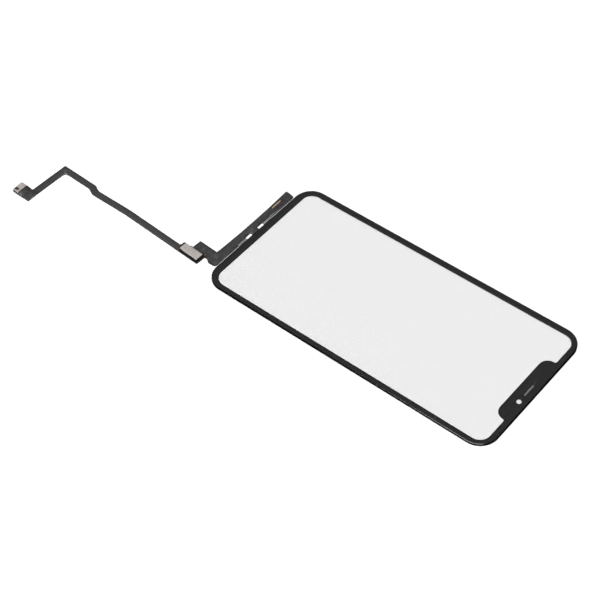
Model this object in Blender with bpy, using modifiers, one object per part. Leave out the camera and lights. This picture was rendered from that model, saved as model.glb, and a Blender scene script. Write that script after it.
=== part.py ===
"""Touch screen panel of a notched phone, with the flexible circuit tail that leaves its bottom end.

Axes: +X to the right and +Y to the notch end when the screen is looked at, +Z out of the screen.
Origin: centre of the sensor's back face, where a display would be bonded.
The panel lies on its frame ring, and the circuits lie on the same surface as the ring.
"""

import math

import bmesh
import bpy
from mathutils import Matrix, Vector

MM = 0.001

# Cover glass
GLASS_WIDTH = 68.0 * MM
GLASS_LENGTH = 142.0 * MM
GLASS_CORNER = 8.5 * MM
GLASS_THICKNESS = 0.70 * MM
EDGE_RUN = 0.75 * MM
EDGE_DROP = 0.36 * MM
EDGE_STEPS = 5

# Printed border, with the notch and its windows
BORDER_SIDE = 2.6 * MM
BORDER_END = 3.1 * MM
WINDOW_CORNER = 5.0 * MM
NOTCH_WIDTH = 34.0 * MM
NOTCH_DEPTH = 4.85 * MM
NOTCH_CORNER = 3.1 * MM
NOTCH_FLARE = 0.9 * MM
INK_THICKNESS = 0.03 * MM
INK_MARGIN = 0.10 * MM
CAMERA_X = 6.8 * MM
CAMERA_FROM_EDGE = 3.8 * MM
CAMERA_DIAMETER = 2.5 * MM
CAMERA_SIDES = 24
SLOT_LENGTH = 6.6 * MM
SLOT_WIDTH = 0.68 * MM

# Laminated stack
LAMINATE_GAP = 0.02 * MM
SENSOR_THICKNESS = 0.18 * MM
SENSOR_CLEARANCE = 0.40 * MM
SENSOR_LAP = 0.85 * MM
ADHESIVE_THICKNESS = 0.09 * MM
ADHESIVE_MARGIN = 0.10 * MM

# Frame ring and its tape
RIM_WIDTH = 1.35 * MM
RIM_DEPTH = 0.60 * MM
RIM_INSET = 0.04 * MM
RIM_EDGE = 0.10 * MM
TAPE_THICKNESS = 0.06 * MM
TAPE_MARGIN = 0.22 * MM
EXIT_CLEARANCE = 0.35 * MM

# Earpiece mesh and its tape
MESH_LAP = 0.85 * MM
MESH_THICKNESS = 0.08 * MM
MESH_HOLE = 0.22 * MM
MESH_HOLE_SIDES = 8
MESH_PITCH = 0.34 * MM
MESH_ROW_PITCH = 0.31 * MM
MESH_TAPE_THICKNESS = 0.05 * MM

# Circuit film
FILM = 0.12 * MM
FILM_CORNER = 0.30 * MM
BEND_STEPS = 9

# Head of the main circuit, bonded to the sensor's edge
HEAD_WIDTH = 24.0 * MM
HEAD_DEPTH = 1.25 * MM
HEAD_CLEARANCE = 0.25 * MM
BOND_THICKNESS = 0.03 * MM
BOND_MARGIN = 0.15 * MM
BRIDGE_WIDTH = 4.3 * MM

# Strip along the bottom end
STRIP_GAP = 0.89 * MM
STRIP_LEFT = 26.4 * MM
STRIP_RIGHT = 25.6 * MM
STRIP_DEPTH = 5.11 * MM
STRIP_WAIST = 0.55 * MM
STRIP_END_SLOPE = 0.75 * MM
STRIP_CORNER = 1.5 * MM
SLOT_LEFT = 10.25 * MM
SLOT_RIGHT = 10.6 * MM
SLOT_DEPTH = 0.93 * MM
LOBE_CORNER = 1.2 * MM
LOBE_DROP = 1.15 * MM
WAIST_STEPS = 8

# Bare contact bar on the strip
PAD_LEFT = 20.6 * MM
PAD_LENGTH = 5.4 * MM
PAD_WIDTH = 0.55 * MM
PAD_SLANT = 0.65 * MM
PAD_FROM_EDGE = 1.47 * MM
PAD_THICKNESS = 0.03 * MM

# Tab and raised foot, in a frame that leans with them
TAB_X = 18.77 * MM
TAB_LEAN = math.radians(3.1)
TAB_WIDTH = 5.64 * MM
TAB_LENGTH = 9.9 * MM
SLIT_WIDTH = 0.12 * MM
SLIT_REACH = 1.20 * MM
SLIT_FROM_STRIP = 2.08 * MM
BEND_RUN = 1.20 * MM
BEND_TO_FOOT = 0.20 * MM
STACK_WIDTH = 4.0 * MM
STACK_LENGTH = 10.9 * MM
STACK_FROM_TAB = 0.28 * MM
SIDE_MARGIN = 0.06 * MM

# Connector stack under the foot
RECEPTACLE_HEIGHT = 0.75 * MM
PLUG_HEIGHT = 0.66 * MM
POCKET_WALL = 0.55 * MM
POCKET_DEPTH = 0.50 * MM
ISLAND_WIDTH = 1.0 * MM
SKIRT_CLEARANCE = 0.10 * MM
SKIRT_WALL = 0.55 * MM
SOLDER_FEET = 16
SOLDER_FOOT = 0.20 * MM
SOLDER_REACH = 0.14 * MM
PLATE_THICKNESS = 0.20 * MM
PLATE_MARGIN = 0.10 * MM
PLATE_CORNER = 0.55 * MM
PLATE_END_MARGIN = 0.75 * MM
PLATE_NOTCH_WIDTH = 0.15 * MM
PLATE_NOTCH_LENGTH = 1.7 * MM
STIFFENER_THICKNESS = 0.15 * MM
MOULD_EDGE = 0.06 * MM

# Tail circuit
TAIL_WIDTH = 3.3 * MM
ARM_WIDTH = 3.8 * MM
HEAD_REACH = 0.55 * MM
TAIL_HEAD_LEFT = 1.0 * MM
TAIL_HEAD_RIGHT = 0.42 * MM
TAIL_HEAD_END = 1.6 * MM
TAIL_SHOULDER = 0.8 * MM
TAIL_LANDING = 2.6 * MM
TAIL_LEAN_RUN = 31.4 * MM
TAIL_UPPER_RUN = 19.65 * MM
TAIL_UPPER_DRIFT = 0.02 * MM
JOG_RUN = 3.6 * MM
JOG_SHIFT = 1.70 * MM
TAIL_LOWER_RUN = 17.67 * MM
TAIL_LOWER_DRIFT = 0.55 * MM
ARM_RUN = 17.65 * MM
ARM_DROP = 0.65 * MM
JOG_RADIUS = 2.2 * MM
BOW_RADIUS = 40.0 * MM
CORNER_INSIDE = 2.2 * MM
CORNER_OUTSIDE = 0.5 * MM

# End pad and what it carries
END_PAD_WIDTH = 6.15 * MM
END_PAD_LENGTH = 10.6 * MM
END_PAD_CORNER = 1.5 * MM
END_BEND_RUN = 2.6 * MM
END_PLATE_LENGTH = 3.25 * MM
END_PLATE_MARGIN = 0.50 * MM
END_PLATE_THICKNESS = 0.18 * MM
END_SLOT_WIDTH = 1.35 * MM
END_SLOT_DEPTH = 2.45 * MM
END_LEG_WIDTH = 1.0 * MM
END_LEG_SHORT = 0.40 * MM
END_LEG_TAPER = 0.22 * MM
END_PLUG_LENGTH = 5.0 * MM
END_PLUG_WIDTH = 2.7 * MM
END_PLUG_HEIGHT = 0.52 * MM
END_PLUG_WALL = 0.42 * MM
END_PLUG_ROOF = 0.17 * MM
END_RIB_WIDTH = 0.50 * MM
END_CONTACTS = 6
END_CONTACT_PITCH = 0.60 * MM
END_CONTACT_WIDTH = 0.22 * MM
END_CONTACT_REACH = 0.28 * MM
END_CONTACT_HEIGHT = 0.24 * MM
END_CONTACT_GAP = 0.02 * MM
HOLD_DOWN_WIDTH = 1.3 * MM
HOLD_DOWN_THICKNESS = 0.12 * MM
HOLD_DOWN_HEIGHT = 0.36 * MM

ARC_STEP = math.radians(9.0)
PART_NAME = "phone_touch_panel"

# Heights, worked out from the stack
SENSOR_TOP = SENSOR_THICKNESS
ADHESIVE_BOTTOM = SENSOR_TOP + LAMINATE_GAP
ADHESIVE_TOP = ADHESIVE_BOTTOM + ADHESIVE_THICKNESS
INK_BOTTOM = ADHESIVE_TOP + LAMINATE_GAP
INK_TOP = INK_BOTTOM + INK_THICKNESS
GLASS_BOTTOM = INK_TOP + LAMINATE_GAP
TAPE_BOTTOM = INK_BOTTOM - LAMINATE_GAP - TAPE_THICKNESS
RIM_TOP = TAPE_BOTTOM - LAMINATE_GAP
REST_LEVEL = RIM_TOP - RIM_DEPTH
HEAD_LEVEL = -2 * LAMINATE_GAP - BOND_THICKNESS - FILM
TAIL_HEAD_LEVEL = REST_LEVEL + STIFFENER_THICKNESS + LAMINATE_GAP
RECEPTACLE_BOTTOM = TAIL_HEAD_LEVEL + FILM + LAMINATE_GAP
PLUG_BOTTOM = RECEPTACLE_BOTTOM + RECEPTACLE_HEIGHT + LAMINATE_GAP
FOOT_LEVEL = PLUG_BOTTOM + PLUG_HEIGHT + LAMINATE_GAP
PLATE_BOTTOM = FOOT_LEVEL + FILM + LAMINATE_GAP
END_PAD_LEVEL = REST_LEVEL + END_PLUG_HEIGHT + LAMINATE_GAP
END_PLATE_BOTTOM = END_PAD_LEVEL + FILM + LAMINATE_GAP

# Places, worked out from the panel outward
BOTTOM_EDGE = -GLASS_LENGTH / 2
TOP_EDGE = GLASS_LENGTH / 2
WINDOW_HALF = GLASS_WIDTH / 2 - BORDER_SIDE
WINDOW_TOP = TOP_EDGE - BORDER_END
FEATURE_Y = TOP_EDGE - CAMERA_FROM_EDGE
RIM_INNER_Y = BOTTOM_EDGE + RIM_INSET + RIM_WIDTH
HEAD_BOTTOM = RIM_INNER_Y + HEAD_CLEARANCE
HEAD_TOP = HEAD_BOTTOM + HEAD_DEPTH
STRIP_TOP = BOTTOM_EDGE - STRIP_GAP
STRIP_BOTTOM = STRIP_TOP - STRIP_DEPTH
SLOT_Y = STRIP_TOP - SLOT_DEPTH
SLIT_TOP = SLIT_FROM_STRIP
STACK_TOP = SLIT_TOP + SLIT_WIDTH
STACK_LEFT = TAB_WIDTH + STACK_FROM_TAB
STACK_RIGHT = STACK_LEFT + STACK_WIDTH
STACK_END = STACK_TOP + STACK_LENGTH
STACK_MIDDLE = (STACK_LEFT + STACK_RIGHT) / 2
BEND_END = STACK_LEFT - BEND_TO_FOOT
BEND_START = BEND_END - BEND_RUN
HEAD_START = STACK_TOP - HEAD_REACH
TAIL_START = STACK_END + TAIL_HEAD_END
TAIL_CENTRE = STACK_RIGHT + TAIL_HEAD_RIGHT - TAIL_WIDTH / 2
END_PLATE_WIDTH = END_PAD_WIDTH - END_PLATE_MARGIN


def clear_scene():
    for thing in list(bpy.data.objects):
        bpy.data.objects.remove(thing, do_unlink=True)


def new_collection(name):
    group = bpy.data.collections.new(name)
    bpy.context.scene.collection.children.link(group)
    return group


def make_material(name, color, roughness, metallic=0.0, alpha=1.0):
    material = bpy.data.materials.new(name)
    material.use_nodes = True
    shader = material.node_tree.nodes["Principled BSDF"]
    shader.inputs["Base Color"].default_value = (*color, 1.0)
    shader.inputs["Roughness"].default_value = roughness
    shader.inputs["Metallic"].default_value = metallic
    shader.inputs["Alpha"].default_value = alpha
    return material


def tab_point(across, along):
    """A point of the leaning frame of tab, stack and tail head: across to +X, along away from the panel."""
    turn = Matrix.Rotation(-TAB_LEAN, 2)
    place = turn @ Vector((across, -along))
    return TAB_X + place.x, STRIP_BOTTOM + place.y


def tab_coordinates(x, y):
    """The inverse of tab_point."""
    turn = Matrix.Rotation(TAB_LEAN, 2)
    local = turn @ Vector((x - TAB_X, y - STRIP_BOTTOM))
    return local.x, -local.y


def step_from(point, to_right, away):
    return point[0] + to_right, point[1] - away


# Centre line of the tail: along the tab's lean, a straight run, the jog, a second run and the side arm
BOW_POINT = tab_point(TAIL_CENTRE, TAIL_START + TAIL_LEAN_RUN)
JOG_START = step_from(BOW_POINT, TAIL_UPPER_DRIFT, TAIL_UPPER_RUN)
JOG_END = step_from(JOG_START, -JOG_SHIFT, JOG_RUN)
TAIL_CORNER = step_from(JOG_END, -TAIL_LOWER_DRIFT, TAIL_LOWER_RUN)
ARM_END = step_from(TAIL_CORNER, ARM_RUN, ARM_DROP)

# Sides of the end pad, which hangs from the arm's end
END_PAD_LEFT = ARM_END[0]
END_PAD_RIGHT = END_PAD_LEFT + END_PAD_WIDTH
END_PAD_TOP = ARM_END[1] + ARM_WIDTH / 2
END_PAD_BOTTOM = END_PAD_TOP - END_PAD_LENGTH
END_BEND_START = END_PAD_TOP - ARM_WIDTH - 2 * FILM_CORNER


def round_corners(corners):
    """Turn corner points (x, y, radius) into an outline whose corners are arcs."""
    points = []
    count = len(corners)
    for index, (x, y, radius) in enumerate(corners):
        here = Vector((x, y))
        to_last = Vector(corners[index - 1][:2]) - here
        to_next = Vector(corners[(index + 1) % count][:2]) - here
        turn = math.pi - to_last.angle(to_next)
        if radius <= 0.0 or turn < math.radians(0.5):
            points.append((x, y))
            continue
        reach = radius * math.tan(turn / 2)
        limit = 0.49 * min(to_last.length, to_next.length)
        if reach > limit:
            radius *= limit / reach
            reach = limit
        start = here + to_last.normalized() * reach
        end = here + to_next.normalized() * reach
        bisector = (to_last.normalized() + to_next.normalized()).normalized()
        centre = here + bisector * math.hypot(radius, reach)
        first = math.atan2(start.y - centre.y, start.x - centre.x)
        last = math.atan2(end.y - centre.y, end.x - centre.x)
        sweep = (last - first + math.pi) % (2 * math.pi) - math.pi
        steps = max(1, round(abs(sweep) / ARC_STEP))
        for step in range(steps + 1):
            angle = first + sweep * step / steps
            points.append((centre.x + radius * math.cos(angle), centre.y + radius * math.sin(angle)))
    return points


def rectangle(left, right, bottom, top, radius):
    corners = [(left, bottom, radius), (right, bottom, radius), (right, top, radius), (left, top, radius)]
    return round_corners(corners)


def circle(x, y, diameter, sides):
    angles = [2 * math.pi * side / sides for side in range(sides)]
    return [(x + diameter / 2 * math.cos(a), y + diameter / 2 * math.sin(a)) for a in angles]


def panel_outline(inset):
    """The glass outline, moved inwards."""
    half_x = GLASS_WIDTH / 2 - inset
    half_y = GLASS_LENGTH / 2 - inset
    return rectangle(-half_x, half_x, -half_y, half_y, GLASS_CORNER - inset)


def notched_outline(half_width, bottom, top, corner, notch_half, notch_depth, notch_corner, flare):
    """A rounded window whose top side is interrupted by the notch."""
    front = top - notch_depth
    return round_corners([
        (-half_width, bottom, corner),
        (half_width, bottom, corner),
        (half_width, top, corner),
        (notch_half, top, flare),
        (notch_half, front, notch_corner),
        (-notch_half, front, notch_corner),
        (-notch_half, top, flare),
        (-half_width, top, corner),
    ])


def window_outline(inset=0.0):
    """The clear window, moved inwards on every side."""
    return notched_outline(
        WINDOW_HALF - inset,
        -WINDOW_TOP + inset,
        WINDOW_TOP - inset,
        WINDOW_CORNER - inset,
        NOTCH_WIDTH / 2 + inset,
        NOTCH_DEPTH,
        NOTCH_CORNER + inset,
        NOTCH_FLARE,
    )


def sensor_outline(inset=0.0):
    """The sensor fits inside the frame ring and laps behind the border round the notch."""
    gap = RIM_INSET + RIM_WIDTH + SENSOR_CLEARANCE + inset
    top = TOP_EDGE - gap
    front = WINDOW_TOP - NOTCH_DEPTH + SENSOR_LAP - inset
    return notched_outline(
        GLASS_WIDTH / 2 - gap,
        BOTTOM_EDGE + gap,
        top,
        GLASS_CORNER - gap,
        NOTCH_WIDTH / 2 - SENSOR_LAP + inset,
        top - front,
        NOTCH_CORNER - SENSOR_LAP + inset,
        NOTCH_FLARE,
    )


def mesh_outline(margin):
    half_x = SLOT_LENGTH / 2 + margin
    half_y = SLOT_WIDTH / 2 + margin
    return rectangle(-half_x, half_x, FEATURE_Y - half_y, FEATURE_Y + half_y, (SLOT_WIDTH + margin) / 2)


def slot_outline(length, width):
    return rectangle(-length / 2, length / 2, FEATURE_Y - width / 2, FEATURE_Y + width / 2, width / 2)


def flat_plate(name, outlines, bottom, thickness, group):
    """A closed flat solid: the first outline is its edge, and the others are holes."""
    curve = bpy.data.curves.new(name, "CURVE")
    curve.dimensions = "2D"
    curve.fill_mode = "BOTH"
    curve.extrude = thickness / 2
    for outline in outlines:
        spline = curve.splines.new("POLY")
        spline.points.add(len(outline) - 1)
        for point, (x, y) in zip(spline.points, outline):
            point.co = (x, y, 0.0, 1.0)
        spline.use_cyclic_u = True
    drawn = bpy.data.objects.new(name + "_curve", curve)
    drawn.location.z = bottom + thickness / 2
    group.objects.link(drawn)
    bpy.context.view_layer.update()
    evaluated = drawn.evaluated_get(bpy.context.evaluated_depsgraph_get())
    mesh = bpy.data.meshes.new_from_object(evaluated)
    mesh.name = name
    work = bmesh.new()
    work.from_mesh(mesh)
    bmesh.ops.remove_doubles(work, verts=work.verts, dist=0.0001 * MM)
    bmesh.ops.recalc_face_normals(work, faces=work.faces)
    work.to_mesh(mesh)
    work.free()
    plate = bpy.data.objects.new(name, mesh)
    plate.matrix_world = drawn.matrix_world
    group.objects.link(plate)
    bpy.data.objects.remove(drawn, do_unlink=True)
    bpy.data.curves.remove(curve)
    return plate


def merge_caps(work):
    """Turn the triangles of the flat top and bottom into one face each."""
    for sign in (1.0, -1.0):
        cap = [face for face in work.faces if face.normal.z * sign > 0.99]
        bmesh.ops.dissolve_faces(work, faces=cap)


def box(name, size, centre, group):
    bpy.ops.mesh.primitive_cube_add(size=1.0)
    block = bpy.context.active_object
    block.name = name
    block.data.name = name
    for owner in list(block.users_collection):
        owner.objects.unlink(block)
    group.objects.link(block)
    block.data.transform(Matrix.Diagonal((*size, 1.0)))
    block.location = centre
    return block


def add_bevel(thing, width, segments=2):
    bevel = thing.modifiers.new("soft_edges", "BEVEL")
    bevel.width = width
    bevel.segments = segments
    bevel.limit_method = "ANGLE"
    bevel.angle_limit = math.radians(40.0)
    bevel.harden_normals = False


def add_boolean(thing, tool, operation):
    change = thing.modifiers.new(tool.name, "BOOLEAN")
    change.object = tool
    change.operation = operation
    change.solver = "EXACT"
    tool.hide_render = True
    tool.display_type = "WIRE"


def finish(thing, material, parent=None):
    """Give a piece its material and shade its round edges smooth."""
    thing.data.materials.clear()
    thing.data.materials.append(material)
    thing.data.shade_smooth()
    thing.data.set_sharp_from_angle(angle=math.radians(35.0))
    if parent is not None:
        thing.parent = parent
    return thing


def smooth_step(value):
    value = min(1.0, max(0.0, value))
    return value * value * (3.0 - 2.0 * value)


def bend_film(film, creases, height):
    """Cut crease lines into a flat film, then lift its points by height(x, y)."""
    work = bmesh.new()
    work.from_mesh(film.data)
    merge_caps(work)
    for (x, y), (normal_x, normal_y) in creases:
        geometry = list(work.verts) + list(work.edges) + list(work.faces)
        bmesh.ops.bisect_plane(
            work, geom=geometry, dist=0.00001 * MM, plane_co=(x, y, 0.0), plane_no=(normal_x, normal_y, 0.0))
    bmesh.ops.triangulate(work, faces=work.faces)
    for vertex in work.verts:
        vertex.co.z += height(vertex.co.x, vertex.co.y)
    work.to_mesh(film.data)
    work.free()


def crease_rows(start, end, normal, point_at):
    """Evenly spaced crease lines between two distances, both included."""
    rows = []
    for step in range(BEND_STEPS + 1):
        distance = start + (end - start) * step / BEND_STEPS
        rows.append((point_at(distance), normal))
    return rows


def make_cover_glass(parts, cutters, material):
    wall = GLASS_THICKNESS - EDGE_DROP
    glass = flat_plate("cover_glass", [panel_outline(0.0)], GLASS_BOTTOM, wall, parts)
    work = bmesh.new()
    work.from_mesh(glass.data)
    merge_caps(work)
    work.faces.ensure_lookup_table()
    top = max(work.faces, key=lambda face: face.calc_center_median().z)
    last_run, last_rise = 0.0, 0.0
    for step in range(1, EDGE_STEPS + 1):
        angle = math.pi / 2 * step / EDGE_STEPS
        run = EDGE_RUN * (1.0 - math.cos(angle))
        rise = EDGE_DROP * math.sin(angle)
        bmesh.ops.inset_region(
            work, faces=[top], thickness=run - last_run, depth=0.0, use_even_offset=True, use_boundary=True)
        for vertex in top.verts:
            vertex.co.z += rise - last_rise
        last_run, last_rise = run, rise
    work.to_mesh(glass.data)
    work.free()
    opening = flat_plate(
        "earpiece_slot_cut", [slot_outline(SLOT_LENGTH, SLOT_WIDTH)],
        GLASS_BOTTOM - GLASS_THICKNESS, 3 * GLASS_THICKNESS, cutters)
    add_boolean(glass, opening, "DIFFERENCE")
    return finish(glass, material)


def make_border_mask(parts, material):
    holes = [
        window_outline(),
        circle(CAMERA_X, FEATURE_Y, CAMERA_DIAMETER, CAMERA_SIDES),
        slot_outline(SLOT_LENGTH, SLOT_WIDTH),
    ]
    mask = flat_plate("border_mask", [panel_outline(INK_MARGIN)] + holes, INK_BOTTOM, INK_THICKNESS, parts)
    return finish(mask, material)


def make_optical_adhesive(parts, cutters, material):
    """A clear sheet with a raised field that fills the step of the printed border."""
    sheet = flat_plate(
        "optical_adhesive", [sensor_outline(ADHESIVE_MARGIN)], ADHESIVE_BOTTOM, ADHESIVE_THICKNESS, parts)
    field_bottom = ADHESIVE_BOTTOM + ADHESIVE_THICKNESS / 2
    field_height = GLASS_BOTTOM - LAMINATE_GAP - field_bottom
    field = flat_plate(
        "adhesive_field", [window_outline(ADHESIVE_MARGIN)], field_bottom, field_height, cutters)
    add_boolean(sheet, field, "UNION")
    return finish(sheet, material)


def make_sensor_film(parts, material):
    film = flat_plate("sensor_film", [sensor_outline()], 0.0, SENSOR_THICKNESS, parts)
    return finish(film, material)


def make_bond_film(parts, material):
    half = HEAD_WIDTH / 2 - BOND_MARGIN
    sensor_edge = RIM_INNER_Y + SENSOR_CLEARANCE
    outline = rectangle(-half, half, sensor_edge + BOND_MARGIN, HEAD_TOP - BOND_MARGIN, BOND_MARGIN)
    film = flat_plate("bond_film", [outline], -LAMINATE_GAP - BOND_THICKNESS, BOND_THICKNESS, parts)
    return finish(film, material)


def make_rim_frame(parts, cutters, material):
    ring = flat_plate(
        "rim_frame", [panel_outline(RIM_INSET), panel_outline(RIM_INSET + RIM_WIDTH)],
        REST_LEVEL, RIM_DEPTH, parts)
    add_bevel(ring, RIM_EDGE)
    exit_height = HEAD_LEVEL + FILM + 2 * LAMINATE_GAP - REST_LEVEL
    exit_cut = box(
        "circuit_exit_cut",
        (BRIDGE_WIDTH + 2 * EXIT_CLEARANCE, 3 * RIM_WIDTH, 2 * exit_height),
        (0.0, BOTTOM_EDGE + RIM_WIDTH / 2, REST_LEVEL), cutters)
    add_boolean(ring, exit_cut, "DIFFERENCE")
    return finish(ring, material)


def make_frame_adhesive(parts, material):
    outlines = [panel_outline(RIM_INSET + TAPE_MARGIN), panel_outline(RIM_INSET + RIM_WIDTH - TAPE_MARGIN)]
    ring = flat_plate("frame_adhesive", outlines, TAPE_BOTTOM, TAPE_THICKNESS, parts)
    return finish(ring, material)


def make_earpiece_mesh(parts, material):
    holes = []
    columns = int((SLOT_LENGTH - MESH_HOLE) / MESH_PITCH)
    for row, shift in ((-0.5, 0.0), (0.5, 0.5)):
        for column in range(columns):
            x = (column + shift - 0.25 - (columns - 1) / 2) * MESH_PITCH
            y = FEATURE_Y + row * MESH_ROW_PITCH
            holes.append(circle(x, y, MESH_HOLE, MESH_HOLE_SIDES))
    bottom = INK_BOTTOM - 2 * LAMINATE_GAP - MESH_TAPE_THICKNESS - MESH_THICKNESS
    mesh = flat_plate("earpiece_mesh", [mesh_outline(MESH_LAP)] + holes, bottom, MESH_THICKNESS, parts)
    return finish(mesh, material)


def make_mesh_tape(parts, material):
    outlines = [mesh_outline(MESH_LAP), mesh_outline(MESH_LAP / 4)]
    bottom = INK_BOTTOM - LAMINATE_GAP - MESH_TAPE_THICKNESS
    tape = flat_plate("mesh_tape", outlines, bottom, MESH_TAPE_THICKNESS, parts)
    return finish(tape, material)


def strip_lower_edge(right, left):
    """The strip is a little narrower in the middle, in one shallow curve."""
    points = []
    for step in range(1, WAIST_STEPS):
        share = step / WAIST_STEPS
        x = right + (left - right) * share
        points.append((x, STRIP_BOTTOM + STRIP_WAIST * 4.0 * share * (1.0 - share), 0.0))
    return points


def main_flex_outline():
    head = HEAD_WIDTH / 2
    bridge = BRIDGE_WIDTH / 2
    small = FILM_CORNER
    tab_root_x, _ = tab_point(0.0, 0.0)
    lobe_end_x, lobe_end_y = tab_point(TAB_WIDTH, FILM_CORNER)
    corners = [
        (-head, HEAD_TOP, small),
        (-head, HEAD_BOTTOM, small),
        (-bridge, HEAD_BOTTOM, small),
        (-bridge, SLOT_Y, small),
        (-SLOT_LEFT, SLOT_Y, small),
        (-SLOT_LEFT, STRIP_TOP, small / 2),
        (-STRIP_LEFT + STRIP_END_SLOPE, STRIP_TOP, STRIP_CORNER),
        (-STRIP_LEFT, STRIP_BOTTOM, 2 * small),
    ]
    corners += reversed(strip_lower_edge(tab_root_x, -STRIP_LEFT))
    corners += [
        (tab_root_x, STRIP_BOTTOM, small),
        (*tab_point(0.0, TAB_LENGTH), small),
        (*tab_point(STACK_LEFT, TAB_LENGTH), small / 2),
        (*tab_point(STACK_LEFT, STACK_END), PLATE_CORNER),
        (*tab_point(STACK_RIGHT, STACK_END), small),
        (*tab_point(STACK_RIGHT, STACK_TOP), small),
        (*tab_point(TAB_WIDTH - SLIT_REACH, STACK_TOP), SLIT_WIDTH / 2),
        (*tab_point(TAB_WIDTH - SLIT_REACH, SLIT_TOP), SLIT_WIDTH / 2),
        (*tab_point(TAB_WIDTH, SLIT_TOP), small),
        (lobe_end_x, lobe_end_y, LOBE_CORNER),
        (STRIP_RIGHT, STRIP_BOTTOM + LOBE_DROP, LOBE_CORNER),
        (STRIP_RIGHT, STRIP_TOP, STRIP_CORNER),
        (SLOT_RIGHT, STRIP_TOP, small / 2),
        (SLOT_RIGHT, SLOT_Y, small),
        (bridge, SLOT_Y, small),
        (bridge, HEAD_BOTTOM, small),
        (head, HEAD_BOTTOM, small),
        (head, HEAD_TOP, small),
    ]
    return round_corners(corners)


def main_flex_height(x, y):
    """Bridge rises to the sensor's back, and the foot rises on to the connector stack."""
    rise = (HEAD_LEVEL - REST_LEVEL) * smooth_step((y - SLOT_Y) / (HEAD_BOTTOM - SLOT_Y))
    across, along = tab_coordinates(x, y)
    if across > BEND_START and along > (SLIT_TOP + STACK_TOP) / 2:
        rise += (FOOT_LEVEL - REST_LEVEL) * smooth_step((across - BEND_START) / BEND_RUN)
    return rise


def make_main_flex(parts, material):
    """A die-cut film: head under the sensor, bridge, strip, tab, and foot folded up on to the stack."""
    film = flat_plate("main_flex", [main_flex_outline()], 0.0, FILM, parts)
    bridge_creases = crease_rows(SLOT_Y, HEAD_BOTTOM, (0.0, 1.0), lambda y: (0.0, y))
    lean = (math.cos(TAB_LEAN), -math.sin(TAB_LEAN))
    foot_creases = crease_rows(BEND_START, BEND_END, lean, lambda across: tab_point(across, TAB_LENGTH))
    bend_film(film, bridge_creases + foot_creases, main_flex_height)
    drop_to_rest(film)
    return finish(film, material)


def drop_to_rest(film):
    """Put a film's height into its mesh, so that its object stays at the origin."""
    shift = REST_LEVEL - min(vertex.co.z for vertex in film.data.vertices)
    film.data.transform(Matrix.Translation((0.0, 0.0, shift)))
    film.location.z = 0.0


def make_ground_pad(parts, material):
    left = -PAD_LEFT
    low = STRIP_BOTTOM + PAD_FROM_EDGE
    corners = [
        (left, low, 0.0),
        (left + PAD_LENGTH, low, 0.0),
        (left + PAD_LENGTH + PAD_SLANT, low + PAD_WIDTH, 0.0),
        (left + PAD_SLANT, low + PAD_WIDTH, 0.0),
    ]
    pad = flat_plate(
        "ground_pad", [round_corners(corners)], REST_LEVEL + FILM + LAMINATE_GAP, PAD_THICKNESS, parts)
    return finish(pad, material)


def stack_outline(margin, radius):
    """An outline in the tab's frame, set in from the connector stack's sides."""
    return rectangle(
        STACK_LEFT + margin, STACK_RIGHT - margin, -STACK_END + margin, -STACK_TOP - margin, radius)


def make_foot_stiffener(parts, material, frame):
    left = STACK_LEFT + PLATE_MARGIN
    right = STACK_RIGHT - PLATE_MARGIN
    top = -STACK_TOP - PLATE_MARGIN
    bottom = -STACK_END + PLATE_END_MARGIN
    outline = round_corners([
        (left, bottom, PLATE_CORNER),
        (right - PLATE_NOTCH_WIDTH, bottom, FILM_CORNER),
        (right - PLATE_NOTCH_WIDTH, bottom + PLATE_NOTCH_LENGTH, FILM_CORNER),
        (right, bottom + PLATE_NOTCH_LENGTH + PLATE_NOTCH_WIDTH, FILM_CORNER),
        (right, top, FILM_CORNER),
        (left, top, FILM_CORNER),
    ])
    plate = flat_plate("foot_stiffener", [outline], PLATE_BOTTOM, PLATE_THICKNESS, parts)
    return finish(plate, material, frame)


def make_receptacle(parts, cutters, material, frame):
    """Open-topped tray with an island down its middle and a row of solder feet on each long side."""
    body = flat_plate(
        "receptacle_housing", [stack_outline(0.0, FILM_CORNER)], RECEPTACLE_BOTTOM, RECEPTACLE_HEIGHT, parts)
    add_bevel(body, MOULD_EDGE)
    island = STACK_WIDTH / 2 - ISLAND_WIDTH / 2
    pocket = flat_plate(
        "receptacle_pocket_cut",
        [stack_outline(POCKET_WALL, FILM_CORNER), stack_outline(island, FILM_CORNER)],
        RECEPTACLE_BOTTOM + RECEPTACLE_HEIGHT - POCKET_DEPTH, 2 * POCKET_DEPTH, cutters)
    pocket.parent = frame
    feet = solder_feet("receptacle_feet", cutters)
    feet.parent = frame
    add_boolean(body, pocket, "DIFFERENCE")
    add_boolean(body, feet, "UNION")
    return finish(body, material, frame)


def solder_feet(name, group):
    """Small feet along both long sides of the receptacle, joined to it by a Boolean."""
    mesh = bpy.data.meshes.new(name)
    work = bmesh.new()
    pitch = (STACK_LENGTH - 4 * SOLDER_FOOT) / SOLDER_FEET
    foot_height = SOLDER_FOOT / 2
    for side in (-1.0, 1.0):
        for index in range(SOLDER_FEET):
            along = -(STACK_TOP + STACK_END) / 2 + (index - (SOLDER_FEET - 1) / 2) * pitch
            across = STACK_MIDDLE + side * STACK_WIDTH / 2
            place = Matrix.Translation((across, along, RECEPTACLE_BOTTOM + foot_height / 2))
            size = Matrix.Diagonal((2 * SOLDER_REACH, SOLDER_FOOT, foot_height, 1.0))
            bmesh.ops.create_cube(work, size=1.0, matrix=place @ size)
    work.to_mesh(mesh)
    work.free()
    feet = bpy.data.objects.new(name, mesh)
    group.objects.link(feet)
    return feet


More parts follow.
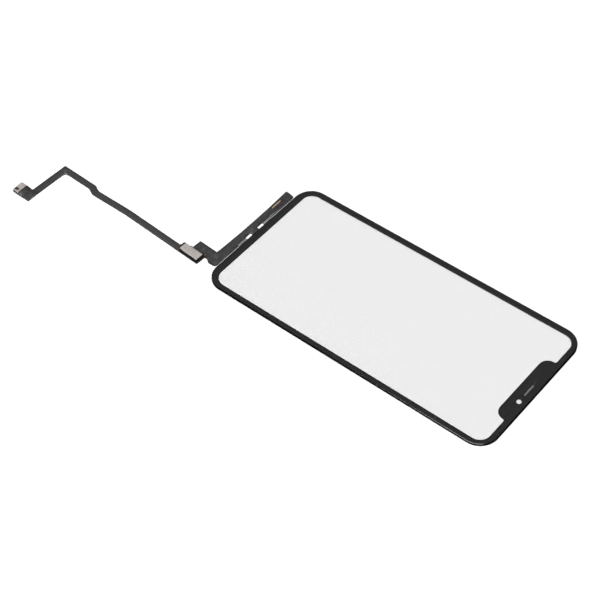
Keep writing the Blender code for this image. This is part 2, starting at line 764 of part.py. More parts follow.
def make_plug(parts, cutters, material, frame):
    """Closed lid with a skirt that stands in the receptacle's pocket."""
    body = flat_plate(
        "plug_housing", [stack_outline(SIDE_MARGIN, FILM_CORNER)], PLUG_BOTTOM, PLUG_HEIGHT, parts)
    add_bevel(body, MOULD_EDGE)
    outer = POCKET_WALL + SKIRT_CLEARANCE
    skirt_depth = LAMINATE_GAP + POCKET_DEPTH - SKIRT_CLEARANCE
    skirt = flat_plate(
        "plug_skirt", [stack_outline(outer, FILM_CORNER), stack_outline(outer + SKIRT_WALL, FILM_CORNER)],
        PLUG_BOTTOM - skirt_depth, skirt_depth + PLUG_HEIGHT / 2, cutters)
    skirt.parent = frame
    add_boolean(body, skirt, "UNION")
    return finish(body, material, frame)


def make_head_stiffener(parts, material, frame):
    outline = rectangle(STACK_LEFT, STACK_RIGHT, -STACK_END, -HEAD_START, FILM_CORNER)
    plate = flat_plate("head_stiffener", [outline], REST_LEVEL, STIFFENER_THICKNESS, parts)
    return finish(plate, material, frame)


def offset_route(route, distances):
    """Points beside a route, mitred at its bends; each run has its own distance, positive to the left."""
    sides = []
    for (x, y), (next_x, next_y) in zip(route, route[1:]):
        sides.append(Vector((y - next_y, next_x - x)).normalized())
    points = [Vector(route[0]) + sides[0] * distances[0]]
    for index in range(1, len(sides)):
        before, after = sides[index - 1], sides[index]
        near, far = distances[index - 1], distances[index]
        spread = before.x * after.y - before.y * after.x
        shift = Vector((near * after.y - far * before.y, far * before.x - near * after.x)) / spread
        points.append(Vector(route[index]) + shift)
    points.append(Vector(route[-1]) + sides[-1] * distances[-1])
    return points


def tail_outline():
    """Head under the connector stack, long narrow run with its jog, side arm and end pad."""
    route = [tab_point(TAIL_CENTRE, TAIL_START), BOW_POINT, JOG_START, JOG_END, TAIL_CORNER, ARM_END]
    near_radii = [0.0, BOW_RADIUS, JOG_RADIUS, JOG_RADIUS, CORNER_INSIDE, 0.0]
    far_radii = [TAIL_SHOULDER, BOW_RADIUS, JOG_RADIUS, JOG_RADIUS, CORNER_OUTSIDE, FILM_CORNER]
    halves = [TAIL_WIDTH / 2] * 4 + [ARM_WIDTH / 2]
    near = [(p.x, p.y, r) for p, r in zip(offset_route(route, halves), near_radii)]
    far = [(p.x, p.y, r) for p, r in zip(offset_route(route, [-half for half in halves]), far_radii)]
    head_right = STACK_RIGHT + TAIL_HEAD_RIGHT
    head_left = STACK_LEFT - TAIL_HEAD_LEFT
    corners = [
        (*tab_point(head_left, HEAD_START), FILM_CORNER),
        (*tab_point(head_left, TAIL_START), FILM_CORNER),
    ]
    corners += far
    corners += [
        (END_PAD_LEFT, END_PAD_BOTTOM, FILM_CORNER),
        (END_PAD_RIGHT, END_PAD_BOTTOM, END_PAD_CORNER),
        (END_PAD_RIGHT, END_PAD_TOP, FILM_CORNER),
    ]
    corners += reversed(near[1:])
    corners += [(*tab_point(head_right, HEAD_START), FILM_CORNER)]
    return round_corners(corners)


def tail_height(x, y):
    """The head stands on its stiffener, and the end pad stands on its connector."""
    _, along = tab_coordinates(x, y)
    rise = (TAIL_HEAD_LEVEL - REST_LEVEL) * smooth_step(1.0 - (along - STACK_END) / TAIL_LANDING)
    if x > END_PAD_LEFT - TAIL_WIDTH:
        rise += (END_PAD_LEVEL - REST_LEVEL) * smooth_step((END_BEND_START - y) / END_BEND_RUN)
    return rise


def make_tail_flex(parts, material):
    film = flat_plate("tail_flex", [tail_outline()], 0.0, FILM, parts)
    away = (math.sin(TAB_LEAN), math.cos(TAB_LEAN))
    head_creases = crease_rows(
        STACK_END, STACK_END + TAIL_LANDING, away, lambda along: tab_point(STACK_MIDDLE, along))
    pad_creases = crease_rows(
        END_BEND_START, END_BEND_START - END_BEND_RUN, (0.0, 1.0), lambda y: (END_PAD_LEFT, y))
    bend_film(film, head_creases + pad_creases, tail_height)
    drop_to_rest(film)
    return finish(film, material)


def make_end_stiffener(parts, material):
    """Bare plate whose slot is open to the end of the pad, with a short tapered outer leg."""
    left = END_PAD_LEFT
    right = left + END_PLATE_WIDTH
    bottom = END_PAD_BOTTOM
    top = bottom + END_PLATE_LENGTH
    slot_right = right - END_LEG_WIDTH
    slot_left = slot_right - END_SLOT_WIDTH
    slot_top = bottom + END_SLOT_DEPTH
    outline = round_corners([
        (left, bottom, FILM_CORNER),
        (slot_left, bottom, FILM_CORNER / 2),
        (slot_left, slot_top, 2 * FILM_CORNER),
        (slot_right, slot_top, 2 * FILM_CORNER),
        (slot_right + END_LEG_TAPER, bottom + END_LEG_SHORT, FILM_CORNER / 2),
        (right - 2 * END_LEG_TAPER, bottom + END_LEG_SHORT, FILM_CORNER / 2),
        (right, bottom + END_PLATE_LENGTH / 2, 2 * FILM_CORNER),
        (right, top, FILM_CORNER),
        (left, top, FILM_CORNER),
    ])
    plate = flat_plate("end_stiffener", [outline], END_PLATE_BOTTOM, END_PLATE_THICKNESS, parts)
    return finish(plate, material)


def end_plug_centre():
    return (END_PAD_LEFT + END_PAD_WIDTH / 2, END_PAD_BOTTOM + END_PLATE_LENGTH / 2)


def make_end_plug(parts, cutters, material):
    """Downward-open tray with a rib between its two contact rows."""
    x, y = end_plug_centre()
    half_x = END_PLUG_LENGTH / 2
    half_y = END_PLUG_WIDTH / 2
    outer = rectangle(x - half_x, x + half_x, y - half_y, y + half_y, FILM_CORNER)
    body = flat_plate("end_plug_housing", [outer], REST_LEVEL, END_PLUG_HEIGHT, parts)
    add_bevel(body, MOULD_EDGE)
    pocket_x = half_x - END_PLUG_WALL
    pocket_y = half_y - END_PLUG_WALL
    rib_x = pocket_x - END_PLUG_WALL
    rib_y = END_RIB_WIDTH / 2
    depth = END_PLUG_HEIGHT - END_PLUG_ROOF
    pocket = flat_plate(
        "end_plug_pocket_cut",
        [
            rectangle(x - pocket_x, x + pocket_x, y - pocket_y, y + pocket_y, MOULD_EDGE),
            rectangle(x - rib_x, x + rib_x, y - rib_y, y + rib_y, MOULD_EDGE),
        ],
        REST_LEVEL - depth, 2 * depth, cutters)
    add_boolean(body, pocket, "DIFFERENCE")
    return finish(body, material)


def make_end_contacts(parts, material):
    """Two rows of contacts on the pocket's long walls, each its own small piece."""
    x, y = end_plug_centre()
    roof = REST_LEVEL + END_PLUG_HEIGHT - END_PLUG_ROOF
    wall = END_PLUG_WIDTH / 2 - END_PLUG_WALL
    for row, side in enumerate((-1.0, 1.0)):
        for index in range(END_CONTACTS):
            number = row * END_CONTACTS + index + 1
            along = x + (index - (END_CONTACTS - 1) / 2) * END_CONTACT_PITCH
            across = y + side * (wall - END_CONTACT_GAP - END_CONTACT_REACH / 2)
            height = roof - END_CONTACT_GAP - END_CONTACT_HEIGHT / 2
            contact = box(
                f"end_contact_{number:02d}",
                (END_CONTACT_WIDTH, END_CONTACT_REACH, END_CONTACT_HEIGHT),
                (along, across, height), parts)
            add_bevel(contact, END_CONTACT_WIDTH / 5)
            finish(contact, material)


def make_hold_downs(parts, material):
    """A metal tab at each short end of the end connector."""
    x, y = end_plug_centre()
    reach = END_PLUG_LENGTH / 2 + END_CONTACT_GAP + HOLD_DOWN_THICKNESS / 2
    height = END_PAD_LEVEL - LAMINATE_GAP - HOLD_DOWN_HEIGHT / 2
    for name, side in (("end_hold_down_left", -1.0), ("end_hold_down_right", 1.0)):
        tab = box(
            name, (HOLD_DOWN_THICKNESS, HOLD_DOWN_WIDTH, HOLD_DOWN_HEIGHT),
            (x + side * reach, y, height), parts)
        add_bevel(tab, HOLD_DOWN_THICKNESS / 5)
        finish(tab, material)


def make_tab_frame(group):
    """An empty that carries everything that leans with the tab."""
    frame = bpy.data.objects.new("tab_frame", None)
    frame.location = (TAB_X, STRIP_BOTTOM, 0.0)
    frame.rotation_euler.z = -TAB_LEAN
    group.objects.link(frame)
    return frame


def build():
    clear_scene()
    parts = new_collection(PART_NAME)
    cutters = new_collection("cutters")

    clear_glass = make_material("clear_glass", (0.93, 0.94, 0.94), 0.05, alpha=0.25)
    clear_film = make_material("clear_film", (0.93, 0.94, 0.93), 0.15, alpha=0.30)
    black_ink = make_material("black_ink", (0.02, 0.02, 0.022), 0.25)
    black_plastic = make_material("black_plastic", (0.015, 0.015, 0.016), 0.45)
    black_tape = make_material("black_tape", (0.03, 0.03, 0.03), 0.70)
    fine_mesh = make_material("fine_mesh", (0.40, 0.40, 0.41), 0.40, metallic=0.8)
    circuit_film = make_material("circuit_film", (0.055, 0.055, 0.058), 0.50)
    bond_resin = make_material("bond_resin", (0.45, 0.40, 0.30), 0.40)
    bare_steel = make_material("bare_steel", (0.62, 0.60, 0.58), 0.32, metallic=0.9)
    gold_plate = make_material("gold_plate", (0.85, 0.62, 0.34), 0.25, metallic=1.0)
    board_plate = make_material("board_plate", (0.03, 0.03, 0.03), 0.60)

    make_cover_glass(parts, cutters, clear_glass)
    make_border_mask(parts, black_ink)
    make_optical_adhesive(parts, cutters, clear_film)
    make_sensor_film(parts, clear_film)
    make_frame_adhesive(parts, black_tape)
    make_rim_frame(parts, cutters, black_plastic)
    make_mesh_tape(parts, black_tape)
    make_earpiece_mesh(parts, fine_mesh)

    make_bond_film(parts, bond_resin)
    make_main_flex(parts, circuit_film)
    make_ground_pad(parts, gold_plate)

    tab_frame = make_tab_frame(parts)
    make_foot_stiffener(parts, bare_steel, tab_frame)
    make_plug(parts, cutters, black_plastic, tab_frame)
    make_receptacle(parts, cutters, black_plastic, tab_frame)
    make_head_stiffener(parts, board_plate, tab_frame)

    make_tail_flex(parts, circuit_film)
    make_end_stiffener(parts, bare_steel)
    make_end_plug(parts, cutters, black_plastic)
    make_end_contacts(parts, gold_plate)
    make_hold_downs(parts, gold_plate)
    bpy.context.view_layer.update()


if __name__ == "__main__":
    build()
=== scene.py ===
"""Finishes, fine pieces and studio for a phone's touch panel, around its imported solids.

Lengths are metres in the model's own frame: +Z out of the screen, +Y to the notch end.
Pattern sizes in the materials are millimetres, because that is how such a panel is drawn.
"""

import math

import bmesh
import bpy
from bpy.props import FloatProperty, FloatVectorProperty, IntProperty, PointerProperty
from mathutils import Matrix, Vector
from mathutils.bvhtree import BVHTree


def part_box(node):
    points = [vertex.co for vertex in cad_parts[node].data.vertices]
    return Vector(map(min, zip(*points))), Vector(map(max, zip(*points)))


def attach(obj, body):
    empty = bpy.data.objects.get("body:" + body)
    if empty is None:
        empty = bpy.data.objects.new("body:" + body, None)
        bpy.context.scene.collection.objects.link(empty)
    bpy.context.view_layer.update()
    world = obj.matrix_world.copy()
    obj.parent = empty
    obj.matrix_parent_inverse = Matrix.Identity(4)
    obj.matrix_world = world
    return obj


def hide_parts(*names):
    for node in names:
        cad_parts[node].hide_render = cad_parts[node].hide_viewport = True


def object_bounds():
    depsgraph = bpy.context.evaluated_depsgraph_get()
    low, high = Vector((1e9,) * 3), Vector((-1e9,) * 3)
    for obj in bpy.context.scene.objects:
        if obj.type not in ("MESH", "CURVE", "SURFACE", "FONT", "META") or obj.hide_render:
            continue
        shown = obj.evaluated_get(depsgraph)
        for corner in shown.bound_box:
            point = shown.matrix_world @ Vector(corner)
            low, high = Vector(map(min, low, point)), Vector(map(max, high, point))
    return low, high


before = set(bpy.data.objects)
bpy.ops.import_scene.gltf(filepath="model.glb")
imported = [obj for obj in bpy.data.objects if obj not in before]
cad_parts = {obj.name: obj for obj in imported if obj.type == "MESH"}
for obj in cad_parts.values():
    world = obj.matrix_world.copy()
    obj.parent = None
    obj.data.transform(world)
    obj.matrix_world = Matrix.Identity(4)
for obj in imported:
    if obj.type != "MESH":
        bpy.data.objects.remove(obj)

bl_info = {
    "name": "Phone Touch Panel",
    "version": (1, 0, 0),
    "blender": (4, 5, 0),
    "location": "3D View > Sidebar > Touch Panel",
    "description": "Finishes a phone's touch panel and its flexible circuits, and sets up a studio for it",
    "category": "Object",
}

PACKED_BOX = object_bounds()
BODY = "root"
MM = 0.001
PER_METRE = 1000.0

# Glass and print
GLASS_LOW, GLASS_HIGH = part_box("cover_glass")
GLASS_CORNER = 8.5 * MM
PRINT_MARGIN = 0.1 * MM
PRINT_THICKNESS = 0.03 * MM
PRINT_STEP = 0.35 * MM
CAMERA_WINDOW = (6.85 * MM, 67.48 * MM)
CAMERA_WINDOW_RADIUS = 0.99 * MM

# Corners of the print's other clear openings, each with its radius, in millimetres
PRINT_WINDOW = (
    (-31.24, -67.62, 4.7),
    (31.32, -67.52, 5.2),
    (31.32, 68.03, 4.8),
    (17.30, 68.06, 0.85),
    (17.20, 63.13, 4.35),
    (-17.15, 63.16, 4.1),
    (-17.25, 68.14, 0.85),
    (-31.24, 68.17, 4.6),
)
PRINT_SLOT = ((-3.08, 67.00, 0.43), (3.18, 67.00, 0.43), (3.18, 67.88, 0.43), (-3.08, 67.88, 0.43))

# The window and its notch as two plain rounded boxes, for the line of dense ink, in millimetres
WINDOW_MIDDLE = (0.04, 0.27)
WINDOW_HALF = (31.28, 67.83)
WINDOW_CORNER = 4.8
NOTCH_MIDDLE = (0.03, 69.15)
NOTCH_HALF = (17.18, 6.0)
NOTCH_CORNER = 3.95
DENSE_INK = (0.25, 0.85)

# Bands of the glass, in millimetres from its outline, and of the painted shade in and round the camera
# window
ROUNDED_EDGE = (-0.45, -0.2)
SIDE_WALL = (-0.06, -0.02)
INK_SOFT = 0.1
CAMERA_SHADE_BAND = (0.31, 0.21)
OUTER_FACE = 0.02

# Places along the circuits, as in the solids
TAB_ROOT = Vector((18.77 * MM, GLASS_LOW.y - 6.0 * MM, 0.0))
TAB_LEAN = math.radians(3.1)
STRIP_TOP = GLASS_LOW.y - 0.89 * MM
STRIP_MIDDLE = STRIP_TOP - 3.06 * MM
TAB_MIDDLE = 2.18 * MM
FOOT_MIDDLE = 6.1 * MM
FOOT_START = 5.78 * MM
STACK_END = 13.1 * MM
TAIL_MIDDLE = 8.69 * MM
TAIL_BOW = 46.1 * MM
END_PLATE_LOW, END_PLATE_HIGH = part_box("end_stiffener")
PAD_LOW, PAD_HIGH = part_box("ground_pad")
END_PAD_MIDDLE = 3.07 * MM
SLOT_FLOOR = STRIP_TOP - 0.93 * MM
SLOT_LEFT = -10.25 * MM
SLOT_RIGHT = 10.6 * MM
WEB_START = 5.3 * MM
WEB_THICKNESS = 0.04 * MM
WEB_LAP = 0.02 * MM

# Runs of the tail's tracks below its bow, to the right and up, in millimetres
TAIL_STEPS = ((0.02, -19.65), (-1.70, -3.6), (-0.55, -17.67), (17.65, -0.65))

# Fine pieces
TRACK_BEND = 1.9 * MM
TRACK_STEP = 0.12 * MM
TRACK_HEIGHT = 0.012 * MM
PLATE_EDGE = 0.05 * MM
STACK_TRACK_GAP = 0.15 * MM
PLATE_TRACK_GAP = 0.12 * MM
COVER_GAP = 0.1 * MM
BRIDGE_COVER = 0.6 * MM
ROUTING_LINES = 4
ROUTING_WIDTH = 0.06 * MM
ROUTING_PITCH = 0.14 * MM
ROUTING_LEVEL = 0.004 * MM
ROUTING_THICKNESS = 0.01 * MM

# Limits for merging, picking and shading the faces and edges of a mesh
WELD = 0.0002 * MM
LEVEL = 0.01 * MM
FLAT_TURN = math.radians(0.3)
SMOOTH_TURN = math.radians(30.0)
RIM_TURN = math.radians(60.0)
UPPER_SIDE = 0.2
FLAT_TOP = 0.9

# Marks in the films, in millimetres: left, right, low and high side, and how soft each pair of sides is
# Amber beside the contact bar: copper's colour with its dark reflection painted in
BAR_COPPER_REFLECTION = (-0.9, 0.5, -0.9, 1.0, 0.3, 0.25)
BAR_VIOLET = (0.8, -0.8, 0.6, 2.4, 0.5, 0.4)
# Painted shade at the slit and along the foot's bend, where the tab twists up
SLIT_SHADE = (4.85, 5.75, 0.2, 2.1, 0.1, 0.15)
BEND_SHADE = (3.9, 5.9, 2.3, 9.8, 0.3, 0.3)
PLATE_AMBER = (1.7, 4.4, -0.4, 0.9, 0.5, 0.4)
PLATE_SLOT_AMBER = (3.0, 4.7, -3.2, -1.0, 0.1, 0.1)

# Other marks and shades of the films, in millimetres and as shares
BRIDGE_HALF = 2.8
BRIDGE_DIM = (-0.3, 0.1)
PAD_DIM_ACROSS = (-1.2, -0.2)
PAD_DIM_ALONG = (9.0, 8.0)
FOOT_EDGE = 5.3
FOOT_LINE = (8.35, 8.55)
PAST_FOOT_LINE = (8.65, 8.9)
HEAD_END = (2.35, 2.25)
MAIN_SHADE = 1.0
TAIL_SHADE = 0.92
EDGE_SHADE = 0.55

# Finishes that have no setting
SILVER = ((0.62, 0.61, 0.58), (0.45, 0.44, 0.42))
RESIN = ((0.50, 0.42, 0.26), (0.36, 0.30, 0.19))
TAPE = (0.012, 0.012, 0.012)
LAMINATE = (0.027, 0.023, 0.021)
WHITE = (1.0, 1.0, 1.0)
MESH_PITCH = 0.09

# Studio
FLOOR_HALF = 4.0
FLAG_PLACE = Vector((-0.34, 0.41, 0.22))
FLAG_HALF = 0.32
KEY_PLACE = Vector((-0.05, 0.08, 1.0))
STRIP_SIZE = (0.715, 0.40)
STRIP_FROM_CORNER = Vector((0.462, 0.115, 0.275))


class Field:
    """One shader socket. An expression on fields adds the Math nodes that work it out."""

    def __init__(self, graph, socket):
        self.graph = graph
        self.socket = socket

    def __add__(self, other):
        return self.graph.math("ADD", self, other)

    def __radd__(self, other):
        return self.graph.math("ADD", other, self)

    def __sub__(self, other):
        return self.graph.math("SUBTRACT", self, other)

    def __rsub__(self, other):
        return self.graph.math("SUBTRACT", other, self)

    def __mul__(self, other):
        return self.graph.math("MULTIPLY", self, other)

    def __rmul__(self, other):
        return self.graph.math("MULTIPLY", other, self)

    def __gt__(self, other):
        return self.graph.math("GREATER_THAN", self, other)

    def __lt__(self, other):
        return self.graph.math("LESS_THAN", self, other)

    def __abs__(self):
        return self.graph.math("ABSOLUTE", self)

    def __pow__(self, power):
        return self.graph.math("POWER", self, power)


class Graph:
    """The nodes of one material."""

    def __init__(self, name):
        self.material = bpy.data.materials.new(name)
        self.material.use_nodes = True
        self.tree = self.material.node_tree
        self.tree.nodes.clear()

    def feed(self, socket, value):
        """Link a field to a socket, or set a number or colour on it."""
        if isinstance(value, Field):
            self.tree.links.new(value.socket, socket)
        elif hasattr(value, "__len__") and len(value) < len(socket.default_value):
            socket.default_value = (*value, 1.0)
        else:
            socket.default_value = value

    def add(self, kind, settings=None, inputs=None, output=0):
        """Add a node: its settings first, then the values or links of its sockets."""
        node = self.tree.nodes.new(kind)
        for name, value in (settings or {}).items():
            setattr(node, name, value)
        for name, value in (inputs or {}).items():
            self.feed(node.inputs[name], value)
        return Field(self, node.outputs[output])

    def math(self, operation, first, second=None):
        inputs = {0: first}
        if second is not None:
            inputs[1] = second
        return self.add("ShaderNodeMath", {"operation": operation}, inputs)

    def smaller(self, first, second):
        return self.math("MINIMUM", first, second)

    def larger(self, first, second):
        return self.math("MAXIMUM", first, second)

    def ramp(self, value, low, high):
        """0 below low and 1 above high, with a soft change between them; high may be the lower one."""
        return self.add("ShaderNodeMapRange", {"interpolation_type": "SMOOTHSTEP"}, {
            "Value": value, "From Min": low, "From Max": high})

    def between(self, value, low, high, soft):
        return self.ramp(value, low - soft, low + soft) * self.ramp(value, high + soft, high - soft)

    def patch(self, x, y, mark, origin=(0.0, 0.0), far=None):
        """A soft box. A mark's sides count from origin, but its right side from far where that is given."""
        left, right, low, high, soft_x, soft_y = mark
        right += origin[0] if far is None else far
        across = self.between(x, origin[0] + left, right, soft_x)
        return across * self.between(y, origin[1] + low, origin[1] + high, soft_y)

    def mix(self, share, color, other):
        """A colour that goes from color to other as share goes from 0 to 1."""
        # The node's sockets share their names between data types, so its colours go by number
        return self.add("ShaderNodeMix", {"data_type": "RGBA"}, {0: share, 6: color, 7: other}, output=2)

    def place(self):
        """Where a point is in the model's frame, in millimetres."""
        position = self.add("ShaderNodeTexCoord", output="Object")
        return self.add("ShaderNodeVectorMath", {"operation": "SCALE"}, {
            "Vector": position, "Scale": PER_METRE})

    def split(self, vector):
        parts = self.add("ShaderNodeSeparateXYZ", inputs={"Vector": vector})
        return [Field(self, socket) for socket in parts.socket.node.outputs]

    def turned(self, vector, origin, angle, stretch=(1.0, 1.0, 1.0)):
        """The place as read along axes that are turned about Z at an origin, then stretched."""
        return self.add("ShaderNodeMapping", {"vector_type": "TEXTURE"}, {
            "Vector": vector,
            "Location": tuple(component * PER_METRE for component in origin),
            "Rotation": (0.0, 0.0, angle),
            "Scale": stretch,
        })

    def noise(self, vector, size, detail=3.0, roughness=0.5):
        return self.add("ShaderNodeTexNoise", inputs={
            "Vector": vector, "Scale": 1.0 / size, "Detail": detail, "Roughness": roughness})

    def bump(self, height, depth):
        """A normal from a height field of 0 to 1, whose full depth is in millimetres."""
        return self.add("ShaderNodeBump", inputs={
            "Strength": 1.0, "Distance": depth * MM, "Height": height})

    def surface(self, color, roughness, **sockets):
        return self.add("ShaderNodeBsdfPrincipled", inputs={
            "Base Color": color, "Roughness": roughness, **sockets})

    def sheen(self, head_on):
        """Share of light that a smooth clear surface reflects, from head on to grazing."""
        facing = self.add("ShaderNodeLayerWeight", inputs={"Blend": 0.5}, output="Facing")
        return facing ** 5.0 * (1.0 - head_on) + head_on

    def blend(self, share, shader, other):
        return self.add("ShaderNodeMixShader", inputs={0: share, 1: shader, 2: other})

    def finish(self, shader):
        output = self.tree.nodes.new("ShaderNodeOutputMaterial")
        self.tree.links.new(shader.socket, output.inputs["Surface"])
        return self.material


def tab_point(across, along):
    """A point of the frame that leans with the tab: across to the right, along away from the panel."""
    place = Matrix.Rotation(-TAB_LEAN, 2) @ Vector((across, -along))
    return TAB_ROOT.xy + place


def bend(before, here, after, radius, step):
    """Points along the arc that rounds a corner, at least every step."""
    back, ahead = (before - here).normalized(), (after - here).normalized()
    turn = math.pi - back.angle(ahead)
    reach = radius * math.tan(turn / 2)
    centre = here + (back + ahead).normalized() * math.hypot(radius, reach)
    spoke = here + back * reach - centre
    sign = math.copysign(1.0, back.cross(ahead))
    count = max(2, math.ceil(turn * radius / step))
    turns = [Matrix.Rotation(-sign * turn * part / count, 2) for part in range(count + 1)]
    return [centre + part @ spoke for part in turns]


def rounded_loop(corners, step):
    """A closed outline through corners given as x, y and radius in millimetres."""
    places = [Vector(corner[:2]) * MM for corner in corners]
    line = []
    for index, corner in enumerate(corners):
        after = places[(index + 1) % len(places)]
        line += bend(places[index - 1], places[index], after, corner[2] * MM, step)
    return line + line[:1]


def rounded_route(corners, radius, step):
    """A line through corner points whose bends are arcs, with a point at least every step."""
    line = [corners[0]]
    for before, here, after in zip(corners, corners[1:], corners[2:]):
        line += bend(before, here, after, radius, step)
    line.append(corners[-1])
    fine = [line[0]]
    for start, end in zip(line, line[1:]):
        count = max(1, math.ceil((end - start).length / step))
        fine += [start.lerp(end, (part + 1) / count) for part in range(count)]
    return fine


def beside(line, distance):
    """The same line moved to the left of its run."""
    moved = []
    for before, here, after in zip(line[:1] + line[:-1], line, line[1:] + line[-1:]):
        run = (after - before).normalized()
        moved.append(here + Vector((-run.y, run.x)) * distance)
    return moved


def side_by_side(line, count, pitch):
    """Copies of a line at an even pitch, centred on it."""
    return [beside(line, (index - (count - 1) / 2) * pitch) for index in range(count)]


def chain(work, line):
    """Draw a line of edges by extruding one point through its places."""
    tip = bmesh.ops.create_vert(work, co=(*line[0], 0.0))["vert"]
    edges = []
    for place in line[1:]:
        grown = bmesh.ops.extrude_vert_indiv(work, verts=tip)
        tip = grown["verts"]
        tip[0].co = (*place, 0.0)
        edges += grown["edges"]
    return edges


def merged_solid(node):
    """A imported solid's form with its triangles merged into flat faces."""
    work = bmesh.new()
    work.from_mesh(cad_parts[node].data)
    bmesh.ops.remove_doubles(work, verts=work.verts, dist=WELD)
    bmesh.ops.dissolve_limit(work, angle_limit=FLAT_TURN, verts=work.verts, edges=work.edges)
    return work


def add_piece(name, work, material, thickness=0.0, replaced=()):
    """Make a bmesh a piece of the panel; a surface is given a thickness on its outer side."""
    mesh = bpy.data.meshes.new(name)
    work.to_mesh(mesh)
    work.free()
    mesh.materials.append(material)
    mesh.shade_smooth()
    mesh.set_sharp_from_angle(angle=SMOOTH_TURN)
    piece = bpy.data.objects.new(name, mesh)
    bpy.context.scene.collection.objects.link(piece)
    if thickness:
        wall = piece.modifiers.new("wall", "SOLIDIFY")
        wall.thickness = thickness
        wall.offset = 1.0
    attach(piece, BODY)
    if replaced:
        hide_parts(*replaced)
    return piece


def face_up(work):
    """Turn every face of a flat surface upwards."""
    down = [face for face in work.faces if face.normal.z < 0.0]
    bmesh.ops.reverse_faces(work, faces=down)


def track_surface(lines, width, node, lift):
    """Bands along lines, laid on the top of a packed film."""
    work = bmesh.new()
    for line in lines:
        sides = chain(work, beside(line, width / 2)) + chain(work, beside(line, -width / 2))
        bmesh.ops.bridge_loops(work, edges=sides)
    face_up(work)
    film = merged_solid(node)
    tree = BVHTree.FromBMesh(film)
    film.free()
    above = PACKED_BOX[1][2] + MM
    for vertex in work.verts:
        hit, _, _, _ = tree.ray_cast(Vector((vertex.co.x, vertex.co.y, above)), Vector((0.0, 0.0, -1.0)))
        if hit is None:
            raise RuntimeError(f"a track leaves {node} at {vertex.co}")
        vertex.co.z = hit.z + lift
    return work


def film_surface(node, margin, keep):
    """The upper side of a packed film, set in from its edge and kept on one side of some planes."""
    work = merged_solid(node)
    hidden = [face for face in work.faces if face.normal.z < UPPER_SIDE]
    bmesh.ops.delete(work, geom=hidden, context="FACES")
    rim = bmesh.ops.inset_region(
        work, faces=work.faces, thickness=margin, use_even_offset=True, use_boundary=True)["faces"]
    bmesh.ops.delete(work, geom=rim, context="FACES")
    for point, outward in keep:
        everything = list(work.verts) + list(work.edges) + list(work.faces)
        bmesh.ops.bisect_plane(
            work, geom=everything, dist=WELD / 2, plane_co=(*point, 0.0), plane_no=(*outward, 0.0),
            clear_outer=True)
    return work


def bevelled_plate(node, width):
    """A packed plate with its long edges rounded."""
    work = merged_solid(node)
    rims = [edge for edge in work.edges if edge.is_manifold and edge.calc_face_angle() > RIM_TURN]
    level = [edge for edge in rims if abs(edge.verts[0].co.z - edge.verts[1].co.z) < LEVEL]
    bmesh.ops.bevel(
        work, geom=level, offset=width, offset_type="OFFSET", affect="EDGES", segments=3, profile=0.5,
        material=-1, clamp_overlap=True)
    return work


def rounded_distance(graph, x, y, half_x, half_y, radius):
    """Signed distance to a rounded rectangle round the origin, negative inside."""
    over_x = abs(x) - (half_x - radius)
    over_y = abs(y) - (half_y - radius)
    outside_x = graph.larger(over_x, 0.0)
    outside_y = graph.larger(over_y, 0.0)
    outside = graph.math("SQRT", outside_x * outside_x + outside_y * outside_y)
    inside = graph.smaller(graph.larger(over_x, over_y), 0.0)
    return outside + inside - radius


def paint(node, material):
    """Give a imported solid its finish."""
    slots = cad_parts[node].data.materials
    slots.clear()
    slots.append(material)


def let_light_through(solid):
    """Light from the room and the lamps passes a solid, so that what lies under it isn't in shade."""
    solid.visible_shadow = False
    solid.visible_diffuse = False


def glass_material(settings):
    """Clear glass whose ground side wall is inked black, with painted shade in its camera window."""
    graph = Graph("cover_glass_finish")
    x, y, z = graph.split(graph.place())
    half_x, half_y = GLASS_HIGH.x / MM, GLASS_HIGH.y / MM
    edge = rounded_distance(graph, x, y, half_x, half_y, GLASS_CORNER / MM)
    band = -settings.edge_band / MM
    inked = graph.ramp(edge, band - INK_SOFT, band + INK_SOFT)
    # Painted shade: a share of black ink is mixed into the camera window, in place of the shade under the
    # print round the hole
    camera_x, camera_y, radius = (part / MM for part in (*CAMERA_WINDOW, CAMERA_WINDOW_RADIUS))
    to_camera = graph.math("SQRT", (x - camera_x) ** 2.0 + (y - camera_y) ** 2.0)
    shaded = graph.ramp(to_camera - radius, *CAMERA_SHADE_BAND) * settings.camera_shade
    outer_face = z > (GLASS_LOW.z / MM + OUTER_FACE)
    rounded = graph.ramp(edge, *ROUNDED_EDGE)
    side_wall = graph.ramp(edge, *SIDE_WALL)
    gloss = graph.sheen(settings.glass_sheen) * outer_face
    gloss = gloss * (1.0 - rounded * settings.edge_dimming) * (1.0 - side_wall)
    clear = graph.add("ShaderNodeBsdfTransparent", inputs={"Color": settings.glass_tint})
    ink = graph.surface(settings.edge_color, 0.6, **{"Specular IOR Level": 0.0})
    mirror = graph.add("ShaderNodeBsdfGlossy", inputs={
        "Color": WHITE, "Roughness": rounded * settings.edge_roughness + settings.glass_roughness})
    body = graph.blend(graph.larger(inked, shaded), clear, ink)
    return graph.finish(graph.blend(gloss, body, mirror))


def clear_material(name, tint, bare_height=None):
    """Clear film that reflects only on its bare face, if it has one, whose height is in millimetres."""
    graph = Graph(name)
    clear = graph.add("ShaderNodeBsdfTransparent", inputs={"Color": tint})
    if bare_height is None:
        return graph.finish(clear)
    _, _, z = graph.split(graph.place())
    bare_face = abs(z - bare_height) < 0.05
    mirror = graph.add("ShaderNodeBsdfGlossy", inputs={"Color": WHITE, "Roughness": 0.06})
    return graph.finish(graph.blend(graph.sheen(0.04) * bare_face, clear, mirror))


